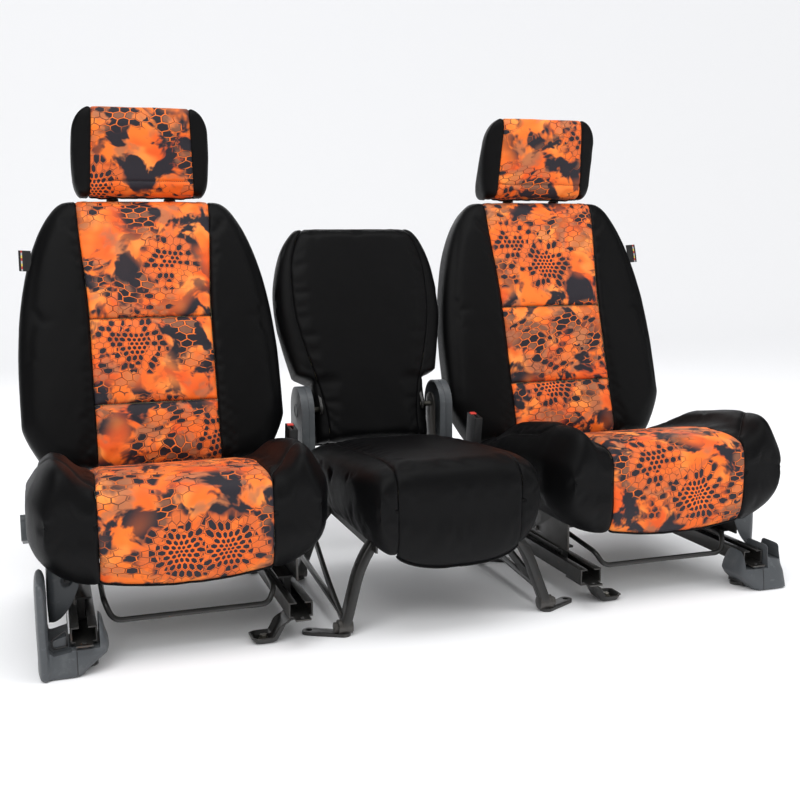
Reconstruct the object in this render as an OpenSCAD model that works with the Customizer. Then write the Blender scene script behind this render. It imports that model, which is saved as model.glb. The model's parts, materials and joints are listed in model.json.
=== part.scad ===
// Fitted seat cover set for a three-seat truck front row: two bucket seats and a folding centre seat.
// Frame: +X to the driver side, +Y to the rear, +Z up, millimetres.
// Origin: on the floor, midway between the four floor bolts of the centre seat.
// A bucket seat is drawn in its own frame, with +x outboard, and placed by bucket().

/* [Layout] */
// Distance from the middle of the row to the middle of each bucket seat
seat_pitch = 475; // [470:1:490]
// Lean of the backrests from vertical, in degrees
recline = 17.5; // [15:0.5:20]

/* [Bucket backrest] */
// Height of the recline axis above the floor
pivot_z = 165; // [160:1:170]
// Distance of the recline axis behind the origin
pivot_y = 310; // [305:1:315]
// Length of the backrest from the recline axis to its top
back_top = 659; // [645:1:662]
// Half width of the backrest at its widest
back_half = 279; // [270:1:280]
// Half width of the flat top edge between the shoulders
back_top_half = 146; // [143:1:160]
// Half width of the printed panel of the back cover
back_panel_half = 132; // [110:1:140]
// Height of the lower sewn seam above the recline axis
seam_low = 203; // [180:1:230]
// Height of the upper sewn seam above the recline axis
seam_high = 388; // [360:1:420]

/* [Bucket cushion] */
// Half width of the cushion
cushion_half = 260; // [250:1:261]
// Front of the cushion
cushion_front = -212; // [-225:1:-200]
// Rear of the cushion
cushion_rear = 246; // [235:1:250]
// Height of the cushion's crown above the floor
cushion_crown = 335; // [325:1:338]
// Height of the side bolsters above the crown
bolster_rise = 27; // [15:1:30]
// Half width of the printed panel of the cushion cover
cushion_panel_half = 148; // [120:1:155]

/* [Headrest] */
// Half width of the headrest
headrest_half = 145; // [135:1:150]
// Height of the headrest's underside above the floor
headrest_low = 812; // [812:1:818]
// Height of the headrest's top above the floor
headrest_high = 1006; // [990:1:1015]
// Half width of the printed panel of the headrest cover
headrest_panel_half = 112; // [95:1:118]
// Half distance between the headrest posts
post_half = 62; // [55:1:70]

/* [Centre seat] */
// Half width of the centre backrest at its widest
centre_half = 193; // [185:1:194]
// Height of the centre hinge axis above the floor
hinge_z = 345; // [342:1:350]
// Distance of the centre hinge axis behind the origin
hinge_y = 301; // [298:1:304]
// Length of the centre backrest above its hinge axis
centre_top = 424; // [400:1:440]
// Half width of the centre cushion
centre_cushion_half = 172; // [155:1:173]
// Half spacing of the centre seat's floor bolts, across the row
bolt_x = 262; // [258:1:266]
// Half spacing of the centre seat's floor bolts, along the seat
bolt_y = 150; // [145:1:155]

/* [Fabric] */
// Thickness of the cover fabric with its foam backing
fabric = 3.4; // [2.5:0.1:3.5]
// Air gap between foam and fabric
ease = 1; // [0.8:0.1:1.2]

/* [Tracks] */
// Half distance between a bucket seat's two tracks
track_half = 186; // [184:1:188]
// Underside of the tracks above the floor
track_z = 52; // [50:1:54]
// Front end of the fixed tracks
track_front = -205; // [-210:1:-200]
// Rear end of the fixed tracks
track_rear = 325; // [320:1:335]

/* [Hidden] */
$fn = 48;

steel = "#2a2a28";
cloth = "#161616";
printed = "#f07a28";
grey = "#4c4f50";
foam = "#c9c2a0";
bright = "#b8bcc0";

play = 0.06;            // radial running clearance of every pin and post
tube = 11;              // radius of the backrest frame tube
tube_x = 176;
tube_n = 14;            // the backrest frame lies this far in front of the recline axis
tube_top = 545;
arm_x = 186;            // inner face of the backrest's recliner arms
side_x = 195.5;         // inner face of the seat's side plates
plate = 4;
pin = 8;
pan_z = 190;
cushion_shift = 7;      // the cushion sits slightly outboard of the backrest
post = 6;
post_n = 32;
guide = 8.1;            // bore of the frame's post guides
sleeve_low = 505;
sleeve_high = back_top + 4;
lever_y = 200;
lever_z = 138;
bar_y = 10;
bar_z = 110;
bar_x = 150;
bar_r = 5;
buckle_x = -265.5;
buckle_y = 232;
buckle_z = 122;
buckle_lean = 10;
centre_pin = 6;
outer = ease + fabric;

// ---------- Places ----------
// x across, s along the backrest from its axis, n towards its front face.
function on_back(x, s, n) = [x, pivot_y + s * sin(recline) - n * cos(recline),
    pivot_z + s * cos(recline) + n * sin(recline)];
function on_centre_back(x, s, n) = [x, hinge_y + s * sin(recline) - n * cos(recline),
    hinge_z + s * cos(recline) + n * sin(recline)];
module bucket(side) translate([side * seat_pitch, 0, 0]) mirror([side < 0 ? 1 : 0, 0, 0]) children();
// Drawing plane of a backrest: x across, y along s, z along n.
module back_plane() translate([0, pivot_y, pivot_z]) rotate([90 - recline, 0, 0]) children();
module centre_plane() translate([0, hinge_y, hinge_z]) rotate([90 - recline, 0, 0]) children();
module both() {
    children();
    mirror([1, 0, 0]) children();
}
// A plate that stands across x: its outline is drawn in y and z.
module upright(x, t) translate([x, 0, 0]) rotate([90, 0, 90]) linear_extrude(t) children();
module cross_rod(x1, x2, y, z, r) translate([x1, y, z]) rotate([0, 90, 0]) cylinder(r = r, h = x2 - x1);
module rod(p, q, r) {
    v = q - p;
    translate(p) rotate([0, acos(v.z / norm(v)), atan2(v.y, v.x)]) cylinder(r = r, h = norm(v));
}
// A bent rod through a list of points: twelve-sided lengths that run a little past each bend.
module bent_rod(points, r) for (i = [0:len(points) - 2]) {
    run = (points[i + 1] - points[i]) / norm(points[i + 1] - points[i]) * r * 0.5;
    rod(points[i] - (i > 0 ? run : [0, 0, 0]), points[i + 1] + (i < len(points) - 2 ? run : [0, 0, 0]), r,
        $fn = 12);
}
// A flat bar with round ends between two points of the drawing plane, as one outline.
module lozenge(p, q, r) {
    turn = atan2(q.y - p.y, q.x - p.x);
    polygon(concat(
        [for (a = [90:15:270]) p + r * [cos(a + turn), sin(a + turn)]],
        [for (a = [-90:15:90]) q + r * [cos(a + turn), sin(a + turn)]]));
}
function ring(cx, cy, wx, wy, e, count) = [for (i = [0:count - 1]) let (a = 360 * i / count)
    [cx + wx * spow(cos(a), e), cy + wy * spow(sin(a), e)]];
// Closed solid through level outlines with equal counts: each is [height, outline].
module stack(levels) {
    n = len(levels[0][1]);
    m = len(levels);
    polyhedron(points = [for (l = levels) for (p = l[1]) [p.x, p.y, l[0]]], faces = concat(
        [for (i = [0:m - 2], j = [0:n - 1]) let (k = (j + 1) % n) each [
            [i * n + k, i * n + j, (i + 1) * n + j], [i * n + k, (i + 1) * n + j, (i + 1) * n + k]]],
        [[for (j = [0:n - 1]) j]], [[for (j = [n - 1:-1:0]) (m - 1) * n + j]]));
}

// ---------- Pads ----------
// A pad is a closed soft shape made of sections along s. Its list holds, in order: half width, front
// depth, rear depth, centre of the depth, bolster height, half width of the front panel, half width of
// the rear panel (functions of s), front and rear squareness, the four stations where it starts, is
// straight and ends, the squareness of its ends, its place, and the lowest n allowed.
function spow(v, e) = v < 0 ? -pow(-v, e) : pow(v, e);
function mix(a, b, t) = a + (b - a) * t;
function unit(t) = min(1, max(0, t));
function smooth(t) = let (c = unit(t)) c * c * (3 - 2 * c);
function round_in(t) = sqrt(1 - pow(unit(t), 2));

// Station u: -1 to 0 closes the low end, 0 to 1 is the straight run, 1 to 2 closes the high end.
function along(pad, u, off) = let (g = pad[9], e = pad[10])
    u < 0 ? g[1] + (g[1] - g[0] + off) * spow(sin(90 * u), e)
    : u <= 1 ? mix(g[1], g[2], u)
    : g[2] + (g[3] - g[2] + off) * spow(sin(90 * (u - 1)), e);
function closing(pad, u) = let (e = pad[10])
    u < 0 ? spow(cos(90 * u), e) : u <= 1 ? 1 : spow(cos(90 * (u - 1)), e);
function station(pad, s) = (s - pad[9][1]) / (pad[9][2] - pad[9][1]);
function front_half(pad, u) = pad[5](along(pad, u, 0));
function rear_half(pad, u) = pad[6](along(pad, u, 0));
function bump(p, x, w) = abs(x) <= p ? 0 : pow(sin(180 * pow(unit((abs(x) - p) / (w - p)), 1.4)), 2);

// The point of a section at angle a, measured from +x towards the front face.
function section(pad, u, a, off) =
    let (s = along(pad, u, off), k = closing(pad, u), w = pad[0](s) + off, front = sin(a) >= 0,
         e = front ? pad[7] : pad[8], x = w * spow(cos(a), e),
         depth = (front ? pad[1](s) : pad[2](s)) + off,
         rise = front ? k * pad[4](s) * bump(front_half(pad, u), x, w) : 0,
         n = pad[3](s) + k * depth * spow(sin(a), e) + rise)
    pad[11](x, s, max(n, pad[12] - off));
function angle_at(pad, u, x, off, e) = acos(pow(min(0.995, x / (pad[0](along(pad, u, off)) + off)), 1 / e));

COLS = 4;
WING = 7;
function front_row(pad, u, off) = [for (i = [0:COLS - 1]) let (t = 1 - 2 * i / (COLS - 1),
    a = angle_at(pad, u, abs(t) * front_half(pad, u), off, pad[7])) section(pad, u, t > 0 ? a : 180 - a, off)];
function back_row(pad, u, off, half) = [for (i = [0:COLS - 1]) let (t = 1 - 2 * i / (COLS - 1),
    a = angle_at(pad, u, abs(t) * half, off, pad[8])) section(pad, u, t > 0 ? -a : 180 + a, off)];
function wing_row(pad, u, off, side, gap) =
    let (from = -angle_at(pad, u, rear_half(pad, u) + gap, off, pad[8]),
         to = angle_at(pad, u, front_half(pad, u) + gap, off, pad[7]))
    [for (i = [0:WING]) let (a = mix(from, to, side > 0 ? i / WING : 1 - i / WING))
        section(pad, u, side > 0 ? a : 180 - a, off)];
function inner(row) = [for (i = [1:len(row) - 2]) row[i]];
function flip(row) = [for (i = [len(row) - 1:-1:0]) row[i]];
function loop(pad, u) = concat(front_row(pad, u, 0), inner(wing_row(pad, u, 0, -1, 0)),
    flip(back_row(pad, u, 0, rear_half(pad, u))), inner(wing_row(pad, u, 0, 1, 0)));
function middle(points) = let (n = len(points)) [for (k = [0:2]) [for (p = points) p[k]] * [for (p = points) 1] / n];

// Closed solid through the pad's sections.
module solid_pad(pad, stations) {
    loops = [for (u = stations) loop(pad, u)];
    n = len(loops[0]);
    m = len(loops);
    ends = m * n;
    polyhedron(points = concat([for (l = loops) each l], [middle(loops[0]), middle(loops[m - 1])]),
        faces = concat(
            [for (i = [0:m - 2], j = [0:n - 1]) let (k = (j + 1) % n) each [
                [i * n + j, i * n + k, (i + 1) * n + k], [i * n + j, (i + 1) * n + k, (i + 1) * n + j]]],
            [for (j = [0:n - 1]) [(j + 1) % n, j, ends]],
            [for (j = [0:n - 1]) [(m - 1) * n + j, (m - 1) * n + (j + 1) % n, ends + 1]]));
}
// Closed sheet of fabric between two grids of points. Each end is a rim or, with a cap, a closed wall.
module sheet(out, in, cap_start = false, cap_end = false) {
    m = len(out);
    n = len(out[0]);
    h = m * n;
    last = (m - 1) * n;
    function quad(a, b, c, d) = [[a, b, c], [a, c, d]];
    polyhedron(
        points = concat([for (r = out) each r], [for (r = in) each r],
            [middle(out[0]), middle(in[0]), middle(out[m - 1]), middle(in[m - 1])]),
        faces = concat(
            [for (i = [0:m - 2], j = [0:n - 2]) let (a = i * n + j) each quad(a, a + 1, a + n + 1, a + n)],
            [for (i = [0:m - 2], j = [0:n - 2]) let (a = h + i * n + j)
                each [[a, a + n + 1, a + 1], [a, a + n, a + n + 1]]],
            [for (i = [0:m - 2]) let (a = i * n) each quad(a, a + n, h + a + n, h + a)],
            [for (i = [0:m - 2]) let (a = i * n + n - 1) each quad(a + n, a, h + a, h + a + n)],
            cap_start ? concat(
                [for (j = [0:n - 2]) [j + 1, j, 2 * h]],
                [for (j = [0:n - 2]) [h + j, h + j + 1, 2 * h + 1]],
                [[0, n - 1, 2 * h], [h + n - 1, h, 2 * h + 1]], quad(n - 1, 0, h, h + n - 1))
            : [for (j = [0:n - 2]) each quad(j + 1, j, h + j, h + j + 1)],
            cap_end ? concat(
                [for (j = [last:last + n - 2]) [j, j + 1, 2 * h + 2]],
                [for (j = [last:last + n - 2]) [h + j + 1, h + j, 2 * h + 3]],
                [[last + n - 1, last, 2 * h + 2], [h + last, h + last + n - 1, 2 * h + 3]],
                quad(last, last + n - 1, h + last + n - 1, h + last))
            : [for (j = [last:last + n - 2]) each quad(j, j + 1, h + j + 1, h + j)]));
}
// Panel on the front face. over continues it round the high end, under round the low end.
module front_panel(pad, stations, over = [], under = []) {
    function rows(off) = concat(
        [for (u = under) back_row(pad, u, off, front_half(pad, u))],
        [for (u = stations) front_row(pad, u, off)],
        [for (u = over) back_row(pad, u, off, rear_half(pad, u))]);
    sheet(rows(outer), rows(ease));
}
module rear_panel(pad, stations) sheet(
    [for (u = stations) flip(back_row(pad, u, outer, rear_half(pad, u)))],
    [for (u = stations) flip(back_row(pad, u, ease, rear_half(pad, u)))]);
module wings(pad, stations, cap_start, cap_end) for (side = [-1, 1]) sheet(
    [for (u = stations) wing_row(pad, u, outer, side, 0.6)],
    [for (u = stations) wing_row(pad, u, ease, side, 0.6)], cap_start, cap_end);

NO_FLOOR = -10000;
TIP = 0.97;             // sections stop just short of the end itself
SEAM = 0.003;

// Bucket backrest, drawn from its recline axis.
back_w = back_half - outer;
back_pad = [
    function (s) back_w - (back_half - back_top_half) * (1 - round_in((s - 270) / (back_top - 266)))
        - 57 * pow(unit((170 - s) / 110), 1.3),
    function (s) 54,
    function (s) 55 - 18 * smooth((s - 540) / 110),
    function (s) 18,
    function (s) 0,
    function (s) mix(back_panel_half - 4, back_panel_half + 10, smooth((s - 380) / 270)),
    function (s) mix(150, 132, smooth((s - 380) / 270)),
    0.42, 0.5, [92, 150, 590, back_top - outer], 0.4, function (x, s, n) on_back(x, s, n), NO_FLOOR];
back_low = [-TIP, -0.8, -0.5, -0.2, 0, station(back_pad, seam_low) - SEAM];
back_mid = [station(back_pad, seam_low) + SEAM, station(back_pad, (seam_low + seam_high) / 2),
    station(back_pad, seam_high) - SEAM];
back_high = [station(back_pad, seam_high) + SEAM, 0.72, 0.86, 1, 1.2, 1.5, 1.8, 1 + TIP];
back_stations = concat(back_low, back_mid, back_high);

// Bucket cushion: s runs rearwards and n is the height above the floor.
cushion_pad = [
    function (s) cushion_half - outer - 26 * pow(unit((-120 - s) / 92), 2),
    function (s) cushion_crown - outer - 250 - 62 * pow(unit((s + 90) / 330), 1.2),
    function (s) 150,
    function (s) 250,
    function (s) bolster_rise * (1 - 0.75 * smooth((s - 60) / 160)),
    function (s) cushion_panel_half - 2 * smooth((s + 200) / 100),
    function (s) mix(cushion_panel_half, 207, smooth((s + 205) / 50)),
    0.36, 1, [cushion_front + outer, -112, 190, cushion_rear - outer], 0.5,
    function (x, s, n) [x + cushion_shift, s, n], NO_FLOOR];
cushion_stations = [-TIP, -0.85, -0.6, -0.3, 0, 0.2, 0.45, 0.7, 0.9, 1, 1.3, 1.65, 1 + TIP];

// Headrest: s is the height above the floor and n runs forwards.
function head_front(s) = -(427 - 22 * (s - headrest_low) / 178);
function head_rear(s) = -(545 - 97 * (s - headrest_low) / 185);
head_pad = [
    function (s) headrest_half - outer - 46 * (1 - round_in((s - headrest_high + 58) / 58))
        - 20 * (1 - round_in((headrest_low + 42 - s) / 42)),
    function (s) (head_front(s) - head_rear(s)) / 2 - outer,
    function (s) (head_front(s) - head_rear(s)) / 2 - outer,
    function (s) (head_front(s) + head_rear(s)) / 2,
    function (s) 0,
    function (s) mix(headrest_panel_half, headrest_panel_half - 9, unit((s - headrest_low) / 180)),
    function (s) mix(headrest_panel_half, headrest_panel_half - 9, unit((s - headrest_low) / 180)),
    0.4, 0.5, [headrest_low + outer, headrest_low + 30, headrest_high - 46, headrest_high - outer], 0.6,
    function (x, s, n) [x, -n, s], NO_FLOOR];
head_stations = [-TIP, -0.75, -0.4, 0, 0.33, 0.67, 1, 1.3, 1.6, 1.85, 1 + TIP];

// Centre backrest, drawn from its hinge axis.
centre_back_pad = [
    function (s) centre_half - outer - 27 * pow(unit((230 - s) / 160), 1.3) - 33 * smooth((84 - s) / 24)
        - 76 * (1 - round_in((s - 250) / (centre_top - 246))),
    function (s) 47,
    function (s) 47 - 12 * smooth((s - 320) / 100),
    function (s) -38,
    function (s) 0,
    function (s) mix(105, 160, smooth((s + 46) / 300)) - 62 * (1 - round_in((s - 300) / (centre_top - 296))),
    function (s) mix(105, 150, smooth((s + 46) / 330)) - 58 * (1 - round_in((s - 300) / (centre_top - 296))),
    0.36, 0.45, [-46, -10, 370, centre_top - outer], 0.4, function (x, s, n) on_centre_back(x, s, n), NO_FLOOR];
centre_back_stations = [-TIP, -0.6, 0, 0.1, 0.18, 0.22, 0.26, 0.4, 0.55, 0.7, 0.85, 1, 1.2, 1.5, 1.8, 1 + TIP];

// Centre cushion.
centre_cushion_pad = [
    function (s) centre_cushion_half - outer - 16 * pow(unit((-150 - s) / 100), 2),
    function (s) 78 - outer - 34 * pow(unit((s + 150) / 380), 1.2),
    function (s) 132,
    function (s) 244,
    function (s) 0,
    function (s) 120,
    function (s) mix(118, 152, smooth((s + 245) / 60)),
    0.4, 0.8, [-256 + outer, -160, 165, 215], 0.5, function (x, s, n) [x, s, n], NO_FLOOR];

// ---------- Tracks and feet ----------
module lower_track(x) translate([x, track_rear, track_z]) rotate([90, 0, 0])
    linear_extrude(track_rear - track_front) polygon([
        [-22, 0], [22, 0], [22, 28], [7.5, 28], [7.5, 25], [19, 25], [19, 3],
        [-19, 3], [-19, 25], [-7.5, 25], [-7.5, 28], [-22, 28]]);
module lower_rails() color(steel) for (side = [-1, 1]) bucket(side) for (x = [-track_half, track_half]) {
    lower_track(x);
    // Bolt tab at the front end
    translate([x, track_front, track_z]) difference() {
        translate([-14, -22, 0]) cube([28, 22, 3]);
        translate([0, -12, -1]) cylinder(r = 4.5, h = 5);
    }
}
module foot_plate(p, q, r, hole) difference() {
    linear_extrude(6) lozenge(p, q, r);
    translate([hole.x, hole.y, -1]) cylinder(r = 5.5, h = 8);
}
outer_bolt = [232, -160];
inner_bolt = [-128, -160];
rear_bolt = 288;
module rail_feet() color(steel) for (side = [-1, 1]) bucket(side) {
    // Front outer foot, hidden in its plastic cover
    foot_plate([178, -166], outer_bolt, 15, outer_bolt);
    translate([track_half - 16, -193, 5]) cube([5, 46, track_z - 7]);
    translate([track_half - 16, -193, track_z - 4]) cube([32, 46, 4]);
    // Front inner foot: a stepped riser and a base whose toe turns up
    translate([-track_half - 16, -190, track_z - 5]) cube([36, 70, 5]);
    translate([-track_half + 16, -186, 26]) cube([5, 62, track_z - 27]);
    translate([-track_half + 16, -182, 26]) cube([20, 56, 5]);
    translate([-track_half + 32, -180, 0]) cube([5, 52, 29]);
    foot_plate([-150, -156], inner_bolt, 24, inner_bolt);
    translate([-108, -164, 1]) cube([5, 36, 41]);
    // Rear feet
    for (x = [-track_half, track_half]) {
        foot_plate([x, 262], [x, rear_bolt], 16, [x, rear_bolt]);
        translate([x - 12, 256, 5]) cube([24, 5, track_z - 5]);
    }
}
// Plastic boot: a shell open to the floor, slotted for the track and for the moving side shield.
function boot_ring(z, grow) = let (t = smooth(z / 70))
    ring(mix(202, 206, t), mix(-174, -180, t), mix(60, 36, t) + grow, mix(52, 40, t) + grow, 0.4, 28);
module boot(grow) stack([for (z = grow < 0 ? [-10, 0, 18, 36, 54, 72, 88] : [0, 18, 36, 54, 72, 86, 92])
    [z, boot_ring(max(z, 0), grow - (z > 90 ? 5 : 0))]]);
// Tall outboard wall of the passenger's boot
module boot_wall() stack([for (z = [0, 50, 100, 150, 180, 186]) let (t = smooth((z - 60) / 130))
    [z, ring(255, mix(-186, -208, t), z > 180 ? 4.5 : 7, mix(50, 30, t) - (z > 180 ? 4 : 0), 0.5, 20)]]);
module foot_covers() color(grey) for (side = [-1, 1]) bucket(side) difference() {
    union() {
        boot(0);
        if (side < 0) boot_wall();
    }
    boot(-3);
    // The track and the seat's upper rail pass through
    translate([track_half - 24, -240, track_z - 6]) cube([48, 200, 120]);
    // The side shield slides past
    translate([231, -300, 46]) cube([14.6, 260, 160]);
    // Finger slot in the front face
    translate([212, -240, 20]) cube([8, 30, 22]);
}

// ---------- Moving seat ----------
module upper_rails(side) color(steel) bucket(side) for (x = [-track_half, track_half])
    translate([x, 245, track_z]) rotate([90, 0, 0]) linear_extrude(340) polygon([
        [-17, 3.3], [17, 3.3], [17, 7.3], [7, 7.3], [7, 40], [18, 40], [18, 44],
        [-18, 44], [-18, 40], [-7, 40], [-7, 7.3], [-17, 7.3]]);
rail_top = track_z + 44;
module seat_frame(side) color(steel) bucket(side) {
    both() difference() {
        upright(side_x, plate) union() {
            translate([-130, rail_top]) square([440, pan_z - rail_top]);
            translate([-130, rail_top]) square([462, 30]);
            translate([pivot_y, pivot_z]) circle(r = 26);
        }
        translate([side_x - 1, pivot_y, pivot_z]) rotate([0, 90, 0]) cylinder(r = pin + play, h = 6);
        translate([side_x - 1, bar_y, bar_z]) rotate([0, 90, 0]) cylinder(r = bar_r + play, h = 6);
        translate([side_x - 1, lever_y, lever_z]) rotate([0, 90, 0]) cylinder(r = 5 + play, h = 6);
        translate([side_x - 1, 70, 145]) rotate([0, 90, 0]) cylinder(r = 16, h = 6);
    }
    difference() {
        translate([-side_x, -150, pan_z - 4]) cube([2 * side_x, 370, 4]);
        for (y = [-90:80:150]) translate([0, 0, pan_z - 5]) linear_extrude(6) lozenge([-110, y], [110, y], 18);
    }
    cross_rod(-side_x, side_x, -112, 150, 10);
    cross_rod(-side_x, side_x, 262, 118, 10);
    // Stud that carries the buckle, on the inboard side
    cross_rod(buckle_x - 8, -side_x - plate, buckle_y, buckle_z, 5);
    cross_rod(buckle_x - 11, buckle_x - 8, buckle_y, buckle_z, 8);
}
module recliner_pins(side) color(bright) bucket(side) both() {
    cross_rod(arm_x - 6, side_x + plate + 2, pivot_y, pivot_z, pin);
    cross_rod(arm_x - 10, arm_x - 3, pivot_y, pivot_z, 13);
    cross_rod(side_x + plate + 0.5, side_x + plate + 6, pivot_y, pivot_z, 13);
}
module cushion_foam(side) color(foam) bucket(side) solid_pad(
    [for (i = [0:12]) i == 12 ? pan_z + 3 : i == 6 ? function (s) 150 : cushion_pad[i]], cushion_stations);
module cushion_cover_center(side) color(printed) bucket(side)
    front_panel(cushion_pad, cushion_stations, over = [1.65], under = [-0.46, -0.6, -0.85]);
module cushion_cover_sides(side) color(cloth) bucket(side) wings(cushion_pad, cushion_stations, true, true);
// Elastic straps with plastic hooks that pull the cover's edges under the pan
module cover_straps(side) color(cloth) bucket(side) for (x = [-96, 96]) {
    translate([x - 11, -186, 171]) cube([22, 400, 1.6]);
    for (y = [-186, 202]) difference() {
        translate([x - 14, y, 168]) cube([28, 12, 8]);
        translate([x - 11.5, y - 1, 170.5]) cube([23, 14, 2.6]);
    }
}
module side_shield(side) color(grey) bucket(side) difference() {
    union() {
        // Outline: round front tip that hangs low, straight top, upswept underside
        upright(236, 4) union() {
            lozenge([-112, 70], [-122, 148], 12);
            polygon([[-124, 78], [-100, 70], [-66, 102], [310, 106], [328, 124], [328, 150], [314, 164],
                [-122, 160]]);
        }
        for (y = [-105, 120, 290]) cross_rod(side_x + plate + 0.2, 237, y, 130, 8);
        cross_rod(240, 242, -105, 130, 11);
    }
    cross_rod(side_x, 250, -105, 130, 3);
    cross_rod(240.6, 250, -105, 130, 8);
    cross_rod(230, 250, lever_y, lever_z, 7);
}
module towel_bar(side) color(steel) bucket(side) bent_rod([
    [side_x + plate + 3, bar_y, bar_z], [bar_x, bar_y, bar_z], [bar_x - 1, -152, 104],
    [bar_x - 14, -165, 71], [14 - bar_x, -165, 71], [1 - bar_x, -152, 96],
    [-bar_x, bar_y, bar_z], [-side_x - plate - 3, bar_y, bar_z]], bar_r);
module recline_lever(side) color(grey) bucket(side) {
    cross_rod(side_x - 3, 272, lever_y, lever_z, 5);
    cross_rod(side_x - 6, side_x - 2, lever_y, lever_z, 9);
    upright(270, 13) {
        lozenge([lever_y, lever_z], [116, 168], 13);
        lozenge([116, 168], [92, 172], 13.5);
        lozenge([92, 172], [90, 198], 12);
    }
}
module at_buckle() translate([buckle_x, buckle_y, buckle_z]) rotate([buckle_lean, 0, 0]) children();
module buckle(side) color("#1c1c1c") bucket(side) at_buckle() difference() {
    union() {
        translate([-1.5, 0, 0]) rotate([90, 0, 90]) linear_extrude(3) lozenge([0, 0], [0, 140], 12);
        difference() {
            translate([-9, -23, 128]) cube([18, 46, 82]);
            // Tongue slot and button well
            translate([-2, -17, 186]) cube([4, 22, 30]);
            translate([-7, 6, 196]) cube([14, 14, 20]);
        }
    }
    translate([-20, 0, 0]) rotate([0, 90, 0]) cylinder(r = 5 + play, h = 40);
}
module buckle_button(side) color("#c8443c") bucket(side) at_buckle()
    translate([-6.6, 6.4, 201]) cube([13.2, 13.2, 10.5]);

// ---------- Bucket backrest ----------
// The frame's tubes. grow makes the clearance that the foam is cut by.
module back_tubes(grow) {
    r = tube + grow;
    bend = 56;
    both() {
        translate([tube_x, 70, tube_n]) rotate([-90, 0, 0]) cylinder(r = r, h = tube_top - bend - 70);
        translate([tube_x - bend, tube_top - bend, tube_n]) rotate_extrude(angle = 90) translate([bend, 0]) circle(r = r);
        translate([post_half, 500 - grow, post_n]) rotate([-90, 0, 0]) cylinder(r = guide + 2 + grow, h = 112 + 2 * grow);
    }
    for (y = [82, tube_top]) translate([-tube_x + (y > 100 ? bend : 0), y, tube_n]) rotate([0, 90, 0])
        cylinder(r = r, h = 2 * (tube_x - (y > 100 ? bend : 0)));
    for (y = [200, 290, 380]) translate([-tube_x, y, tube_n]) rotate([0, 90, 0]) cylinder(r = 2 + grow, h = 2 * tube_x);
}
module back_arms(grow) both() translate([arm_x - 4 - grow, 0, 0]) rotate([90, 0, 90]) linear_extrude(8 + 2 * grow) {
    circle(r = 24 + grow);
    lozenge([0, 0], [116, tube_n], 17 + grow);
}
module back_frame(side) color(steel) bucket(side) back_plane() difference() {
    union() {
        back_tubes(0);
        back_arms(0);
    }
    both() {
        translate([post_half, 490, post_n]) rotate([-90, 0, 0]) cylinder(r = guide, h = 130);
        translate([arm_x - 20, 0, 0]) rotate([0, 90, 0]) cylinder(r = pin + play, h = 40);
        translate([arm_x - 20, 0, 0]) rotate([0, 90, 0]) cylinder(r = 14, h = 17);
    }
}
module back_foam(side) color(foam) bucket(side) difference() {
    solid_pad(back_pad, back_stations);
    back_plane() {
        back_tubes(1.5);
        back_arms(1.5);
        both() translate([post_half, 480, post_n]) rotate([-90, 0, 0]) cylinder(r = guide + 1.2, h = 250);
    }
}
module back_cover_center(side) color(printed) bucket(side) {
    front_panel(back_pad, [for (u = back_low) if (u > -0.9) u]);
    front_panel(back_pad, back_mid);
    difference() {
        front_panel(back_pad, back_high, over = [1 + TIP, 1.8, 1.5]);
        back_plane() both() translate([post_half, 600, post_n]) rotate([-90, 0, 0]) cylinder(r = 9.5, h = 100);
    }
}
module back_cover_wings(side) color(cloth) bucket(side)
    wings(back_pad, [for (u = back_stations) if (u > -0.6) u], false, true);
module back_cover_rear(side) color(cloth) bucket(side)
    rear_panel(back_pad, [for (u = back_stations) if (u > -0.3 && u < 1.4) u]);
module label_tag(side) color(cloth) bucket(side) back_plane() {
    translate([238, 500, 52]) rotate([0, 0, -4]) difference() {
        cube([24, 46, 1.6]);
        translate([1.5, 1.5, 0.6]) cube([20, 43, 0.4]);
    }
}
module headrest_sleeves(side) color(cloth) bucket(side) back_plane() both()
    translate([post_half, 0, post_n]) rotate([-90, 0, 0]) difference() {
        union() {
            translate([0, 0, sleeve_low]) cylinder(r = guide - 0.1, h = sleeve_high - sleeve_low);
            translate([0, 0, sleeve_high]) cylinder(r = 13, h = 4);
        }
        translate([0, 0, sleeve_low - 1]) cylinder(r = post + play, h = 200);
    }
post_low = 495;
post_high = 712;
module post_rods(r, low) {
    both() translate([post_half, low, post_n]) rotate([-90, 0, 0]) cylinder(r = r, h = post_high - low);
    both() translate([post_half, post_high, post_n]) sphere(r = r);
    translate([-post_half, post_high, post_n]) rotate([0, 90, 0]) cylinder(r = r, h = 2 * post_half);
}
module headrest_posts(side) color(bright) bucket(side) back_plane() post_rods(post, post_low);
module headrest_foam(side) color(foam) bucket(side) difference() {
    solid_pad(head_pad, head_stations);
    back_plane() post_rods(post + 1, 640);
}
module headrest_cover_center(side) color(printed) bucket(side)
    front_panel(head_pad, [for (u = head_stations) if (u > -0.9) u], over = [1 + TIP, 1.6, 1.2, 0.67, 0.33, 0, -0.4]);
module headrest_cover_sides(side) color(cloth) bucket(side)
    wings(head_pad, [for (u = head_stations) if (u > -0.9) u], false, true);

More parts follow.
